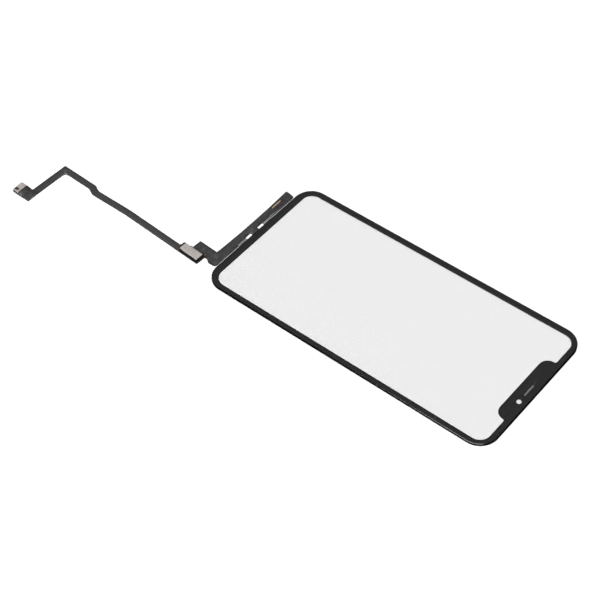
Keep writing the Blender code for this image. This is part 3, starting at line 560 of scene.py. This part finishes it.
def ink_material(settings):
    """Satin black print, with a denser line along the clear window."""
    graph = Graph("black_print")
    place = graph.place()
    x, y, _ = graph.split(place)
    from_sides = rounded_distance(
        graph, x - WINDOW_MIDDLE[0], y - WINDOW_MIDDLE[1], *WINDOW_HALF, WINDOW_CORNER)
    in_notch = rounded_distance(
        graph, x - NOTCH_MIDDLE[0], y - NOTCH_MIDDLE[1], *NOTCH_HALF, NOTCH_CORNER)
    from_window = graph.larger(from_sides, 0.0 - in_notch)
    grain = graph.noise(place, 0.35, 4.0)
    color = graph.mix(grain, settings.ink_color, tuple(1.3 * part for part in settings.ink_color))
    dense = tuple(0.15 * part for part in settings.ink_color)
    color = graph.mix(graph.ramp(from_window, *DENSE_INK), dense, color)
    shader = graph.surface(color, graph.noise(place, 2.0) * 0.1 + 0.45, **{"Specular IOR Level": 0.05})
    return graph.finish(shader)


def plastic_material(name, color, roughness, grain_size, grain_depth, gloss=0.08):
    """Moulded plastic: a fine spark-eroded grain and a little unevenness in its sheen."""
    graph = Graph(name)
    place = graph.place()
    grain = graph.noise(place, grain_size, 5.0, 0.6)
    patches = graph.noise(place, 2.5)
    shade = graph.mix(patches, color, tuple(1.5 * part for part in color))
    return graph.finish(graph.surface(shade, roughness - 0.08 + grain * 0.16, **{
        "Normal": graph.bump(grain, grain_depth), "Specular IOR Level": gloss}))


def moulding_material(name, settings):
    """Fine black moulding of a connector."""
    return plastic_material(
        name, settings.plastic_color, roughness=0.42, grain_size=0.06, grain_depth=0.006)


def tab_place(graph):
    """Across and along the leaning tab, in millimetres, with along pointing away from the panel."""
    place = graph.turned(graph.place(), TAB_ROOT, -TAB_LEAN)
    across, up, _ = graph.split(place)
    return across, 0.0 - up


def dim_areas(graph, place):
    """Where the film is darker: on the bridge between the slots and on the end pad."""
    x, y, _ = graph.split(place)
    bridge = graph.between(x, -BRIDGE_HALF, BRIDGE_HALF, 0.3)
    bridge = bridge * graph.ramp(y - STRIP_TOP / MM, *BRIDGE_DIM)
    from_left, from_top = x - END_PLATE_LOW.x / MM, y - END_PLATE_HIGH.y / MM
    pad = graph.ramp(from_left, *PAD_DIM_ACROSS) * graph.ramp(from_top, *PAD_DIM_ALONG)
    return graph.larger(bridge, pad)


def film_material(name, settings, shade, marks):
    """Satin cover film: mottled, with a fine pressed grain. Marks change its colour in places."""
    graph = Graph(name)
    place = graph.place()
    mottle = graph.noise(place, 1.3, 5.0)
    grain = graph.noise(place, 0.12, 3.0)
    dark = tuple(shade * part for part in settings.film_dark)
    light = tuple(shade * part for part in settings.film_light)
    color = graph.mix(graph.ramp(mottle, 0.3, 0.7), dark, light)
    color = graph.mix(dim_areas(graph, place) * 0.75, color, dark)
    color = marks(graph, color, settings)
    normal = graph.bump(grain * 0.5 + mottle, 0.012)
    shader = graph.surface(color, 0.40 + grain * 0.12, **{"Normal": normal, "Specular IOR Level": 0.25})
    return graph.finish(shader)


def main_film_marks(graph, color, settings):
    """Amber beside the contact bar, where the copper's dark reflection is painted; amber painted shade at
    the slit and along the foot's bend; a lighter line across the tab, with darker film past it.
    """
    x, y, _ = graph.split(graph.place())
    bar_start = (PAD_LOW.x / MM, (PAD_LOW.y + PAD_HIGH.y) / 2 / MM)
    bar_end = PAD_HIGH.x / MM
    color = graph.mix(graph.patch(x, y, BAR_VIOLET, bar_start, bar_end) * 0.7, color, settings.film_violet)
    # Painted reflection: the amber beside the bar stands in for its mirror-like copper reflecting a dark
    # room
    color = graph.mix(graph.patch(x, y, BAR_COPPER_REFLECTION, bar_start, bar_end) * 0.9, color, settings.film_amber_shade_and_reflection)
    across, along = tab_place(graph)
    # Painted shade: amber where the tab twists up at the slit and along the foot's bend
    slit = graph.patch(across, along, SLIT_SHADE)
    foot_bend = graph.patch(across, along, BEND_SHADE)
    color = graph.mix(graph.larger(slit * 0.75, foot_bend * 0.45), color, settings.film_amber_shade_and_reflection)
    pale_line = graph.between(along, *FOOT_LINE, 0.1) * (across < FOOT_EDGE)
    past_line = graph.ramp(along, *PAST_FOOT_LINE) * (across < FOOT_EDGE)
    color = graph.mix(pale_line * 0.8, color, settings.film_line)
    return graph.mix(past_line * 0.5, color, settings.film_dark)


def tail_film_marks(graph, color, settings):
    """Amber patches on the tail's head, beside the end plate and in its slot."""
    x, y, _ = graph.split(graph.place())
    plate_corner = (END_PLATE_LOW.x / MM, END_PLATE_HIGH.y / MM)
    beside_plate = graph.patch(x, y, PLATE_AMBER, plate_corner)
    in_slot = graph.patch(x, y, PLATE_SLOT_AMBER, plate_corner)
    _, along = tab_place(graph)
    head = graph.ramp(along, *HEAD_END)
    amber = graph.larger(in_slot * 0.8, graph.larger(beside_plate * 0.7, head * 0.6))
    return graph.mix(amber, color, settings.film_amber_shade_and_reflection)


def track_material(settings):
    """Cover film where it lies over copper: a little paler and smoother than beside it."""
    graph = Graph("film_over_copper")
    place = graph.place()
    mottle = graph.noise(place, 0.9, 4.0)
    light = tuple(1.4 * part for part in settings.track_color)
    color = graph.mix(graph.ramp(mottle, 0.35, 0.65), settings.track_color, light)
    color = graph.mix(dim_areas(graph, place) * 0.85, color, settings.film_dark)
    shader = graph.surface(color, 0.36 + mottle * 0.1, **{
        "Normal": graph.bump(mottle, 0.006), "Specular IOR Level": 0.3})
    return graph.finish(shader)


def web_material(settings):
    """Thin base film with no black film on it: a little light from the floor comes through."""
    graph = Graph("bare_base_film")
    mottle = graph.noise(graph.place(), 1.4, 2.0)
    cover = graph.ramp(mottle, 0.3, 0.7) * 0.2 + (1.0 - settings.web_clearness)
    shader = graph.surface(settings.web_color, 0.35, **{"Alpha": cover, "Specular IOR Level": 0.2})
    return graph.finish(shader)


def silver_material():
    """Printed silver of the sensor's border wiring."""
    graph = Graph("printed_silver")
    place = graph.place()
    specks = graph.noise(place, 0.05, 2.0)
    color = graph.mix(specks, *SILVER)
    return graph.finish(graph.surface(color, 0.35 + specks * 0.15, **{"Metallic": 0.9}))


def steel_material(name, settings, origin, lean):
    """Rolled bare steel: streaks along its length, warm patches and a few dull spots."""
    graph = Graph(name)
    place = graph.place()
    streaks = graph.noise(graph.turned(place, origin, lean, (0.08, 3.0, 1.0)), 1.0, 3.0)
    patches = graph.noise(place, 1.3, 3.0)
    spots = graph.ramp(graph.noise(place, 0.45, 1.0), 0.66, 0.74)
    color = graph.mix(graph.ramp(patches, 0.35, 0.65), settings.steel_cool, settings.steel_warm)
    color = graph.mix(spots * 0.45, color, settings.steel_spot)
    roughness = 0.26 + streaks * 0.14 + spots * 0.15
    normal = graph.bump(streaks * 0.6 + patches, 0.01)
    return graph.finish(graph.surface(color, roughness, **{"Metallic": 1.0, "Normal": normal}))


def gold_material(settings):
    """Gold plating, worn duller in places."""
    graph = Graph("gold_plating")
    place = graph.place()
    patches = graph.noise(place, 0.6, 3.0)
    color = graph.mix(patches, settings.gold_color, tuple(0.8 * part for part in settings.gold_color))
    normal = graph.bump(patches, 0.006)
    return graph.finish(graph.surface(color, 0.2 + patches * 0.15, **{"Metallic": 1.0, "Normal": normal}))


def mesh_material(settings):
    """Woven steel cloth: fine wires over and under between the larger holes."""
    graph = Graph("earpiece_cloth")
    x, y, _ = graph.split(graph.place())
    warp = graph.math("SINE", x * (2 * math.pi / MESH_PITCH))
    weft = graph.math("SINE", y * (2 * math.pi / MESH_PITCH))
    weave = warp * weft * 0.5 + 0.5
    color = graph.mix(weave, settings.mesh_color, tuple(0.45 * part for part in settings.mesh_color))
    shader = graph.surface(color, 0.45, **{"Metallic": 0.8, "Normal": graph.bump(weave, 0.01)})
    return graph.finish(shader)


def resin_material():
    """Cured conductive resin, speckled with its particles."""
    graph = Graph("bond_resin")
    place = graph.place()
    specks = graph.noise(place, 0.08, 2.0)
    color = graph.mix(specks, *RESIN)
    return graph.finish(graph.surface(color, 0.35, **{"Normal": graph.bump(specks, 0.004)}))


class GlassSettings(bpy.types.PropertyGroup):
    """Looks of the glass, the print, the ring, the clear films and the mesh"""
    glass_tint: FloatVectorProperty(
        name="Glass Tint", description="Share of light that each face of the glass lets through",
        subtype="COLOR", min=0.0, max=1.0, default=(0.958, 0.959, 0.958))
    glass_sheen: FloatProperty(
        name="Glass Sheen", description="Share of light that the glass reflects head on",
        min=0.0, max=1.0, default=0.04)
    glass_roughness: FloatProperty(
        name="Glass Roughness", description="Blur of what the glass reflects",
        min=0.0, max=1.0, default=0.03)
    # Painted shade: the share of black ink mixed into the camera window, in place of the shade in the hole
    camera_shade: FloatProperty(
        name="Camera Shade", description="Share of light that the coated camera window keeps back",
        min=0.0, max=1.0, default=0.14)
    edge_band: FloatProperty(
        name="Edge Band", description="Width of the rounded edge, which looks solid black",
        subtype="DISTANCE", min=0.0, default=0.28 * MM)
    edge_dimming: FloatProperty(
        name="Edge Dimming", description="Share of its reflection that the rounded edge loses to the print",
        min=0.0, max=1.0, default=0.65)
    edge_roughness: FloatProperty(
        name="Edge Roughness", description="How much more the rounded edge blurs what it reflects",
        min=0.0, max=1.0, default=0.15)
    edge_color: FloatVectorProperty(
        name="Edge Colour", description="Colour of the rounded edge and the side walls",
        subtype="COLOR", min=0.0, max=1.0, default=(0.0040, 0.0038, 0.0042))
    ink_color: FloatVectorProperty(
        name="Print Colour", description="Colour of the printed border",
        subtype="COLOR", min=0.0, max=1.0, default=(0.0038, 0.0034, 0.0037))
    ring_color: FloatVectorProperty(
        name="Ring Colour", description="Colour of the frame ring",
        subtype="COLOR", min=0.0, max=1.0, default=(0.0045, 0.0042, 0.0045))
    film_tint: FloatVectorProperty(
        name="Sensor Tint", description="Share of light that each face of the clear films lets through",
        subtype="COLOR", min=0.0, max=1.0, default=(0.956, 0.956, 0.956))
    mesh_color: FloatVectorProperty(
        name="Mesh Colour", description="Colour of the earpiece mesh",
        subtype="COLOR", min=0.0, max=1.0, default=(0.265, 0.26, 0.27))


class CircuitSettings(bpy.types.PropertyGroup):
    """Films, tracks, plates and connectors"""
    film_dark: FloatVectorProperty(
        name="Film Dark", description="Darker colour of the cover film",
        subtype="COLOR", min=0.0, max=1.0, default=(0.0250, 0.0240, 0.0252))
    film_light: FloatVectorProperty(
        name="Film Light", description="Lighter colour of the cover film",
        subtype="COLOR", min=0.0, max=1.0, default=(0.0465, 0.0445, 0.0472))
    # Amber of the film's brown patches; the same colour paints the shade at the slit and along the foot's
    # bend, and the copper's dark reflection beside the contact bar
    film_amber_shade_and_reflection: FloatVectorProperty(
        name="Film Amber", description="Colour of the base film where no black film covers it",
        subtype="COLOR", min=0.0, max=1.0, default=(0.040, 0.025, 0.018))
    film_violet: FloatVectorProperty(
        name="Film Violet", description="Colour of the thin film above the contact bar",
        subtype="COLOR", min=0.0, max=1.0, default=(0.030, 0.022, 0.036))
    # Colour of a lighter line across the tab near its end
    film_line: FloatVectorProperty(
        name="Film Line", description="Colour of the worn line near the tab's end",
        subtype="COLOR", min=0.0, max=1.0, default=(0.085, 0.085, 0.088))
    web_color: FloatVectorProperty(
        name="Web", description="Colour of the bare base film in the slots",
        subtype="COLOR", min=0.0, max=1.0, default=(0.075, 0.069, 0.064))
    web_clearness: FloatProperty(
        name="Web Clearness", description="Share of light that the bare base film lets through at most",
        min=0.0, max=1.0, default=0.32)
    track_color: FloatVectorProperty(
        name="Tracks", description="Colour of the cover film over the copper tracks",
        subtype="COLOR", min=0.0, max=1.0, default=(0.0325, 0.0314, 0.0332))
    film_margin: FloatProperty(
        name="Film Margin", description="From the circuit's edge to its cover film",
        subtype="DISTANCE", min=0.0, default=0.22 * MM)
    film_thickness: FloatProperty(
        name="Film Thickness", description="How far the cover film stands up",
        subtype="DISTANCE", min=0.0, default=0.02 * MM)
    track_width: FloatProperty(
        name="Track Width", description="Width of a signal track",
        subtype="DISTANCE", min=0.0, default=0.18 * MM)
    track_pitch: FloatProperty(
        name="Track Pitch", description="From one track to the next",
        subtype="DISTANCE", min=0.0, default=0.36 * MM)
    tail_tracks: IntProperty(
        name="Tail Tracks", description="Number of tracks along the tail", min=1, default=6)
    main_tracks: IntProperty(
        name="Main Tracks", description="Number of tracks along the main circuit", min=1, default=6)
    steel_cool: FloatVectorProperty(
        name="Steel", description="Main colour of the bare plates",
        subtype="COLOR", min=0.0, max=1.0, default=(0.82, 0.77, 0.735))
    steel_warm: FloatVectorProperty(
        name="Steel Warm", description="Colour of the warmer patches of the bare plates",
        subtype="COLOR", min=0.0, max=1.0, default=(0.74, 0.665, 0.625))
    steel_spot: FloatVectorProperty(
        name="Steel Spots", description="Colour of the dull spots of the bare plates",
        subtype="COLOR", min=0.0, max=1.0, default=(0.50, 0.43, 0.40))
    gold_color: FloatVectorProperty(
        name="Gold", description="Colour of the plated contacts",
        subtype="COLOR", min=0.0, max=1.0, default=(0.95, 0.75, 0.55))
    plastic_color: FloatVectorProperty(
        name="Plastic", description="Colour of the connector mouldings",
        subtype="COLOR", min=0.0, max=1.0, default=(0.0055, 0.0053, 0.0055))


class StudioSettings(bpy.types.PropertyGroup):
    """Camera, floor, room and lights"""
    lens: FloatProperty(
        name="Lens", description="Focal length on a 36 mm sensor, in millimetres", min=1.0, default=91.31)
    distance: FloatProperty(
        name="Distance", description="From the camera to its aim point", subtype="DISTANCE", default=0.6190)
    azimuth: FloatProperty(
        name="Azimuth", description="Direction of the camera round the part, from -Y towards +X",
        subtype="ANGLE", default=math.radians(133.342))
    elevation: FloatProperty(
        name="Elevation", description="Height of the camera above the horizon",
        subtype="ANGLE", default=math.radians(49.045))
    roll: FloatProperty(
        name="Roll", description="Turn of the picture about the view",
        subtype="ANGLE", default=math.radians(4.484))
    aim: FloatVectorProperty(
        name="Aim", description="Point at the middle of the picture",
        subtype="TRANSLATION", default=(0.018133, -0.031996, 0.0))
    floor_color: FloatVectorProperty(
        name="Floor", description="Colour of the floor",
        subtype="COLOR", min=0.0, max=1.0, default=(0.90, 0.90, 0.90))
    flag_color: FloatVectorProperty(
        name="Flag", description="Colour of the dark card that the edge at the notch end reflects",
        subtype="COLOR", min=0.0, max=1.0, default=(0.002, 0.002, 0.002))
    sky_strength: FloatProperty(
        name="Sky", description="Brightness of the room all round", min=0.0, default=0.48)
    key_strength: FloatProperty(
        name="Key Light", description="Strength of the wide overhead light", min=0.0, default=2.6)
    key_softness: FloatProperty(
        name="Key Softness", description="Angle that the overhead light fills",
        subtype="ANGLE", default=math.radians(30.0))
    strip_power: FloatProperty(
        name="Strip Light", description="Power of the light that draws a line on the rounded edge",
        subtype="POWER", unit="POWER", min=0.0, default=40.0)


class TouchPanelSettings(bpy.types.PropertyGroup):
    """All settings of the touch panel"""
    glass: PointerProperty(
        type=GlassSettings, name="Glass", description="Glass, print and clear films")
    circuit: PointerProperty(
        type=CircuitSettings, name="Circuit", description="Circuits, plates and connectors")
    studio: PointerProperty(
        type=StudioSettings, name="Studio", description="Camera, floor and light")


class TouchPanelOperator:
    """One step of the finish, which build() does from the scene's settings"""
    bl_options = {"REGISTER", "UNDO"}

    def execute(self, context):
        self.build(context.scene.touch_panel)
        return {"FINISHED"}


class TOUCH_OT_cover_glass(TouchPanelOperator, bpy.types.Operator):
    """Finish the cover glass and its printed border"""
    bl_idname = "touch_panel.cover_glass"
    bl_label = "Cover Glass"

    def build(self, settings):
        pane = add_piece(
            "cover_pane", merged_solid("cover_glass"), glass_material(settings.glass),
            replaced=["cover_glass"])
        border = add_piece(
            "border_print", self.border(), ink_material(settings.glass), PRINT_THICKNESS,
            replaced=["border_mask"])
        for piece in (pane, border):
            let_light_through(piece)

    def border(self):
        """The print's underside with three clear openings: window, earpiece slot and camera window."""
        work = bmesh.new()
        edge_x, edge_y = ((half - PRINT_MARGIN) / MM for half in GLASS_HIGH.xy)
        radius = (GLASS_CORNER - PRINT_MARGIN) / MM
        sides = ((-1, -1), (1, -1), (1, 1), (-1, 1))
        outside = [(side_x * edge_x, side_y * edge_y, radius) for side_x, side_y in sides]
        for corners in (outside, PRINT_WINDOW, PRINT_SLOT):
            chain(work, rounded_loop(corners, PRINT_STEP))
        camera = Matrix.Translation((*CAMERA_WINDOW, 0.0))
        bmesh.ops.create_circle(work, segments=32, radius=CAMERA_WINDOW_RADIUS, matrix=camera)
        bmesh.ops.remove_doubles(work, verts=work.verts, dist=WELD)
        bmesh.ops.triangle_fill(work, edges=work.edges, use_beauty=True, normal=(0.0, 0.0, 1.0))
        face_up(work)
        bmesh.ops.translate(work, verts=work.verts, vec=(0.0, 0.0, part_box("border_mask")[0].z))
        return work


class TOUCH_OT_clear_films(TouchPanelOperator, bpy.types.Operator):
    """Finish the sensor film and the clear adhesive over it"""
    bl_idname = "touch_panel.clear_films"
    bl_label = "Clear Films"

    def build(self, settings):
        tint = settings.glass.film_tint
        paint("optical_adhesive", clear_material("clear_adhesive", tint))
        paint("sensor_film", clear_material("sensor_finish", tint, bare_height=0.0))
        for node in ("optical_adhesive", "sensor_film"):
            let_light_through(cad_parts[node])
        add_piece("sensor_routing", self.routing(), silver_material(), ROUTING_THICKNESS)

    def routing(self):
        """Border wiring on the sensor's front, behind the print: insets of its outline."""
        work = merged_solid("sensor_film")
        hidden = [face for face in work.faces if face.normal.z < FLAT_TOP]
        bmesh.ops.delete(work, geom=hidden, context="FACES")
        middle = list(work.faces)
        gaps = []
        for _ in range(ROUTING_LINES):
            for width, kept in ((ROUTING_PITCH - ROUTING_WIDTH, False), (ROUTING_WIDTH, True)):
                ring = bmesh.ops.inset_region(
                    work, faces=middle, thickness=width, use_even_offset=True, use_boundary=True)["faces"]
                if not kept:
                    gaps += ring
        bmesh.ops.delete(work, geom=gaps + middle, context="FACES")
        bmesh.ops.translate(work, verts=work.verts, vec=(0.0, 0.0, ROUTING_LEVEL))
        return work


class TOUCH_OT_frame_ring(TouchPanelOperator, bpy.types.Operator):
    """Finish the frame ring and the tape that holds it"""
    bl_idname = "touch_panel.frame_ring"
    bl_label = "Frame Ring"

    def build(self, settings):
        plastic = plastic_material(
            "frame_plastic", settings.glass.ring_color, roughness=0.5, grain_size=0.08, grain_depth=0.008,
            gloss=0.0)
        paint("rim_frame", plastic)
        tape = plastic_material("tape", TAPE, roughness=0.75, grain_size=0.15, grain_depth=0.01)
        paint("frame_adhesive", tape)
        paint("mesh_tape", tape)


class TOUCH_OT_earpiece_mesh(TouchPanelOperator, bpy.types.Operator):
    """Finish the mesh behind the earpiece slot"""
    bl_idname = "touch_panel.earpiece_mesh"
    bl_label = "Earpiece Mesh"

    def build(self, settings):
        paint("earpiece_mesh", mesh_material(settings.glass))


class TOUCH_OT_main_circuit(TouchPanelOperator, bpy.types.Operator):
    """Finish the main circuit, its cover film, its tracks, its bond and its bare contact bar"""
    bl_idname = "touch_panel.main_circuit"
    bl_label = "Main Circuit"

    def build(self, settings):
        circuit = settings.circuit
        paint("main_flex", film_material("main_base_film", circuit, EDGE_SHADE, main_film_marks))
        paint("ground_pad", gold_material(circuit))
        paint("bond_film", resin_material())
        self.add_webs(circuit)
        self.add_cover(circuit)
        self.add_tracks(circuit)

    def add_webs(self, circuit):
        """Bare base film that closes the outer half of both slots, up to the frame ring."""
        work = bmesh.new()
        panel_side = GLASS_LOW.y + WEB_LAP
        level = PACKED_BOX[0][2] + WEB_THICKNESS / 2
        for start, end in ((SLOT_LEFT, -WEB_START), (WEB_START, SLOT_RIGHT)):
            middle = Vector(((start + end) / 2, (SLOT_FLOOR + panel_side) / 2, level))
            size = (end - start, panel_side - SLOT_FLOOR, WEB_THICKNESS, 1.0)
            bmesh.ops.create_cube(work, size=1.0, matrix=Matrix.Translation(middle) @ Matrix.Diagonal(size))
        webs = add_piece("slot_webs", work, web_material(circuit))
        webs.visible_shadow = False

    def add_cover(self, circuit):
        """Cover film on the strip and the tab, from the bridge to the foot."""
        panel_side = ((0.0, STRIP_TOP + BRIDGE_COVER), (0.0, 1.0))
        foot_side = (tab_point(FOOT_START, 0.0), (math.cos(TAB_LEAN), -math.sin(TAB_LEAN)))
        work = film_surface("main_flex", circuit.film_margin, [panel_side, foot_side])
        film = film_material("main_cover_film", circuit, MAIN_SHADE, main_film_marks)
        add_piece("main_cover_film", work, film, circuit.film_thickness)

    def add_tracks(self, circuit):
        """Tracks run from the bridge along the strip, down the tab and round into the foot."""
        corners = [
            Vector((0.0, STRIP_TOP)),
            Vector((0.0, STRIP_MIDDLE)),
            Vector((tab_point(TAB_MIDDLE, 0.0).x, STRIP_MIDDLE)),
            tab_point(TAB_MIDDLE, FOOT_MIDDLE),
            tab_point(FOOT_START, FOOT_MIDDLE),
        ]
        line = rounded_route(corners, TRACK_BEND, TRACK_STEP)
        lines = side_by_side(line, circuit.main_tracks, circuit.track_pitch)
        work = track_surface(lines, circuit.track_width, "main_flex", circuit.film_thickness)
        add_piece("main_tracks", work, track_material(circuit), TRACK_HEIGHT)


class TOUCH_OT_foot_connector(TouchPanelOperator, bpy.types.Operator):
    """Finish the mated connector pair under the folded foot, and the plate on it"""
    bl_idname = "touch_panel.foot_connector"
    bl_label = "Foot Connector"

    def build(self, settings):
        steel = steel_material("foot_steel", settings.circuit, TAB_ROOT, -TAB_LEAN)
        plate = bevelled_plate("foot_stiffener", PLATE_EDGE)
        add_piece("foot_plate", plate, steel, replaced=["foot_stiffener"])
        moulding = moulding_material("connector_moulding", settings.circuit)
        for node in ("plug_housing", "receptacle_housing"):
            paint(node, moulding)
        board = plastic_material(
            "laminate_board", LAMINATE, roughness=0.6, grain_size=0.1, grain_depth=0.01)
        paint("head_stiffener", board)


class TOUCH_OT_tail_circuit(TouchPanelOperator, bpy.types.Operator):
    """Finish the long tail circuit"""
    bl_idname = "touch_panel.tail_circuit"
    bl_label = "Tail Circuit"

    def build(self, settings):
        circuit = settings.circuit
        paint("tail_flex", film_material("tail_base_film", circuit, EDGE_SHADE, tail_film_marks))
        self.add_cover(circuit)
        self.add_tracks(circuit)

    def add_cover(self, circuit):
        """Cover film along the tail, from the connector stack to the end plate."""
        stack_side = (tab_point(0.0, STACK_END + COVER_GAP), (math.sin(TAB_LEAN), math.cos(TAB_LEAN)))
        plate_side = ((0.0, END_PLATE_HIGH.y + COVER_GAP), (0.0, -1.0))
        work = film_surface("tail_flex", circuit.film_margin, [stack_side, plate_side])
        film = film_material("tail_cover_film", circuit, TAIL_SHADE, tail_film_marks)
        add_piece("tail_cover_film", work, film, circuit.film_thickness)

    def add_tracks(self, circuit):
        """Tracks run from the connector stack along the tail and its arm to the end plate."""
        corners = [tab_point(TAIL_MIDDLE, STACK_END + STACK_TRACK_GAP), tab_point(TAIL_MIDDLE, TAIL_BOW)]
        for to_right, up in TAIL_STEPS:
            corners.append(corners[-1] + Vector((to_right, up)) * MM)
        pad_x = END_PLATE_LOW.x + END_PAD_MIDDLE
        corners[-1] = Vector((pad_x, corners[-1].y))
        corners.append(Vector((pad_x, END_PLATE_HIGH.y + PLATE_TRACK_GAP)))
        line = rounded_route(corners, TRACK_BEND, TRACK_STEP)
        lines = side_by_side(line, circuit.tail_tracks, circuit.track_pitch)
        work = track_surface(lines, circuit.track_width, "tail_flex", circuit.film_thickness)
        add_piece("tail_tracks", work, track_material(circuit), TRACK_HEIGHT)


class TOUCH_OT_end_connector(TouchPanelOperator, bpy.types.Operator):
    """Finish the connector under the tail's end pad, and the plate on it"""
    bl_idname = "touch_panel.end_connector"
    bl_label = "End Connector"

    def build(self, settings):
        steel = steel_material("end_steel", settings.circuit, (0.0, 0.0, 0.0), math.pi / 2)
        plate = bevelled_plate("end_stiffener", PLATE_EDGE)
        add_piece("end_plate", plate, steel, replaced=["end_stiffener"])
        paint("end_plug_housing", moulding_material("end_moulding", settings.circuit))
        plating = gold_material(settings.circuit)
        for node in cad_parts:
            if node.startswith(("end_contact", "end_hold_down")):
                paint(node, plating)


def camera_turn(settings):
    """Where a camera stands from its aim point, as a direction, and its rotation."""
    around, up = settings.azimuth, settings.elevation
    away = Vector((math.cos(up) * math.sin(around), -math.cos(up) * math.cos(around), math.sin(up)))
    look = (-away).to_track_quat("-Z", "Y").to_matrix()
    return away, (look @ Matrix.Rotation(-settings.roll, 3, "Z")).to_4x4()


class TOUCH_OT_studio(TouchPanelOperator, bpy.types.Operator):
    """Set up the camera, a pale floor, a dark card and soft light"""
    bl_idname = "touch_panel.studio"
    bl_label = "Studio"

    def build(self, settings):
        studio = settings.studio
        self.add_camera(studio)
        level = Matrix.Translation((0.0, 0.0, PACKED_BOX[0][2]))
        self.add_sheet("floor", FLOOR_HALF, level, studio.floor_color)
        self.add_flag(studio)
        self.add_sky(studio)
        self.add_lights(studio)
        bpy.context.scene.view_settings.view_transform = "Standard"

    def add_camera(self, studio):
        data = bpy.data.cameras.new("camera")
        data.lens = studio.lens
        camera = bpy.data.objects.new("camera", data)
        bpy.context.scene.collection.objects.link(camera)
        away, turn = camera_turn(studio)
        camera.matrix_world = Matrix.Translation(Vector(studio.aim) + away * studio.distance) @ turn
        bpy.context.scene.camera = camera

    def add_sheet(self, name, half_size, place, color):
        """Add a flat matt sheet to the set."""
        work = bmesh.new()
        bmesh.ops.create_grid(work, x_segments=1, y_segments=1, size=half_size, matrix=place)
        mesh = bpy.data.meshes.new(name)
        work.to_mesh(mesh)
        work.free()
        sheet = bpy.data.objects.new(name, mesh)
        bpy.context.scene.collection.objects.link(sheet)
        graph = Graph(name + "_paint")
        mesh.materials.append(graph.finish(graph.surface(color, 0.9, **{"Specular IOR Level": 0.0})))
        return sheet

    def add_flag(self, studio):
        """Add a dark card that only reflections see: it keeps the edge at the notch end dark."""
        edge = Vector((0.0, GLASS_HIGH.y, 0.0))
        facing = (edge - FLAG_PLACE).to_track_quat("Z", "Y").to_matrix().to_4x4()
        flag = self.add_sheet("flag", FLAG_HALF, Matrix.Translation(FLAG_PLACE) @ facing, studio.flag_color)
        flag.visible_camera = False
        flag.visible_diffuse = False
        flag.visible_shadow = False

    def add_sky(self, studio):
        world = bpy.data.worlds.new("room")
        world.use_nodes = True
        background = world.node_tree.nodes["Background"]
        background.inputs["Color"].default_value = (*WHITE, 1.0)
        background.inputs["Strength"].default_value = studio.sky_strength
        bpy.context.scene.world = world

    def add_lights(self, studio):
        """Add a wide key light that makes no highlight, and a strip light that makes only highlights."""
        key = bpy.data.lights.new("key", "SUN")
        key.energy = studio.key_strength
        key.angle = studio.key_softness
        self.place_light(key, KEY_PLACE, Vector()).visible_glossy = False
        strip = bpy.data.lights.new("strip", "AREA")
        strip.energy = studio.strip_power
        strip.shape = "RECTANGLE"
        strip.size, strip.size_y = STRIP_SIZE
        corner = Vector((GLASS_HIGH.x, GLASS_HIGH.y - GLASS_CORNER, 0.0))
        self.place_light(strip, corner + STRIP_FROM_CORNER, corner).visible_diffuse = False

    def place_light(self, data, position, target):
        light = bpy.data.objects.new(data.name, data)
        bpy.context.scene.collection.objects.link(light)
        turn = (target - position).to_track_quat("-Z", "Y").to_matrix().to_4x4()
        light.matrix_world = Matrix.Translation(position) @ turn
        return light


class TOUCH_PT_panel(bpy.types.Panel):
    """Steps that finish the touch panel"""
    bl_idname = "TOUCH_PT_panel"
    bl_label = "Touch Panel"
    bl_space_type = "VIEW_3D"
    bl_region_type = "UI"
    bl_category = "Touch Panel"

    def draw(self, context):
        layout = self.layout
        settings = context.scene.touch_panel
        for group in (settings.glass, settings.circuit, settings.studio):
            box = layout.box()
            for name in group.__annotations__:
                box.prop(group, name)
        column = layout.column(align=True)
        for operator in OPERATORS:
            column.operator(operator.bl_idname)


OPERATORS = (
    TOUCH_OT_studio,
    TOUCH_OT_cover_glass,
    TOUCH_OT_clear_films,
    TOUCH_OT_frame_ring,
    TOUCH_OT_earpiece_mesh,
    TOUCH_OT_main_circuit,
    TOUCH_OT_foot_connector,
    TOUCH_OT_tail_circuit,
    TOUCH_OT_end_connector,
)
SETTINGS = (GlassSettings, CircuitSettings, StudioSettings, TouchPanelSettings)
CLASSES = (*SETTINGS, *OPERATORS, TOUCH_PT_panel)


def register():
    for item in CLASSES:
        bpy.utils.register_class(item)
    bpy.types.Scene.touch_panel = PointerProperty(type=TouchPanelSettings)


def unregister():
    del bpy.types.Scene.touch_panel
    for item in reversed(CLASSES):
        bpy.utils.unregister_class(item)


def main():
    register()
    for operator in OPERATORS:
        group, name = operator.bl_idname.split(".")
        getattr(getattr(bpy.ops, group), name)()


if __name__ == "__main__":
    main()
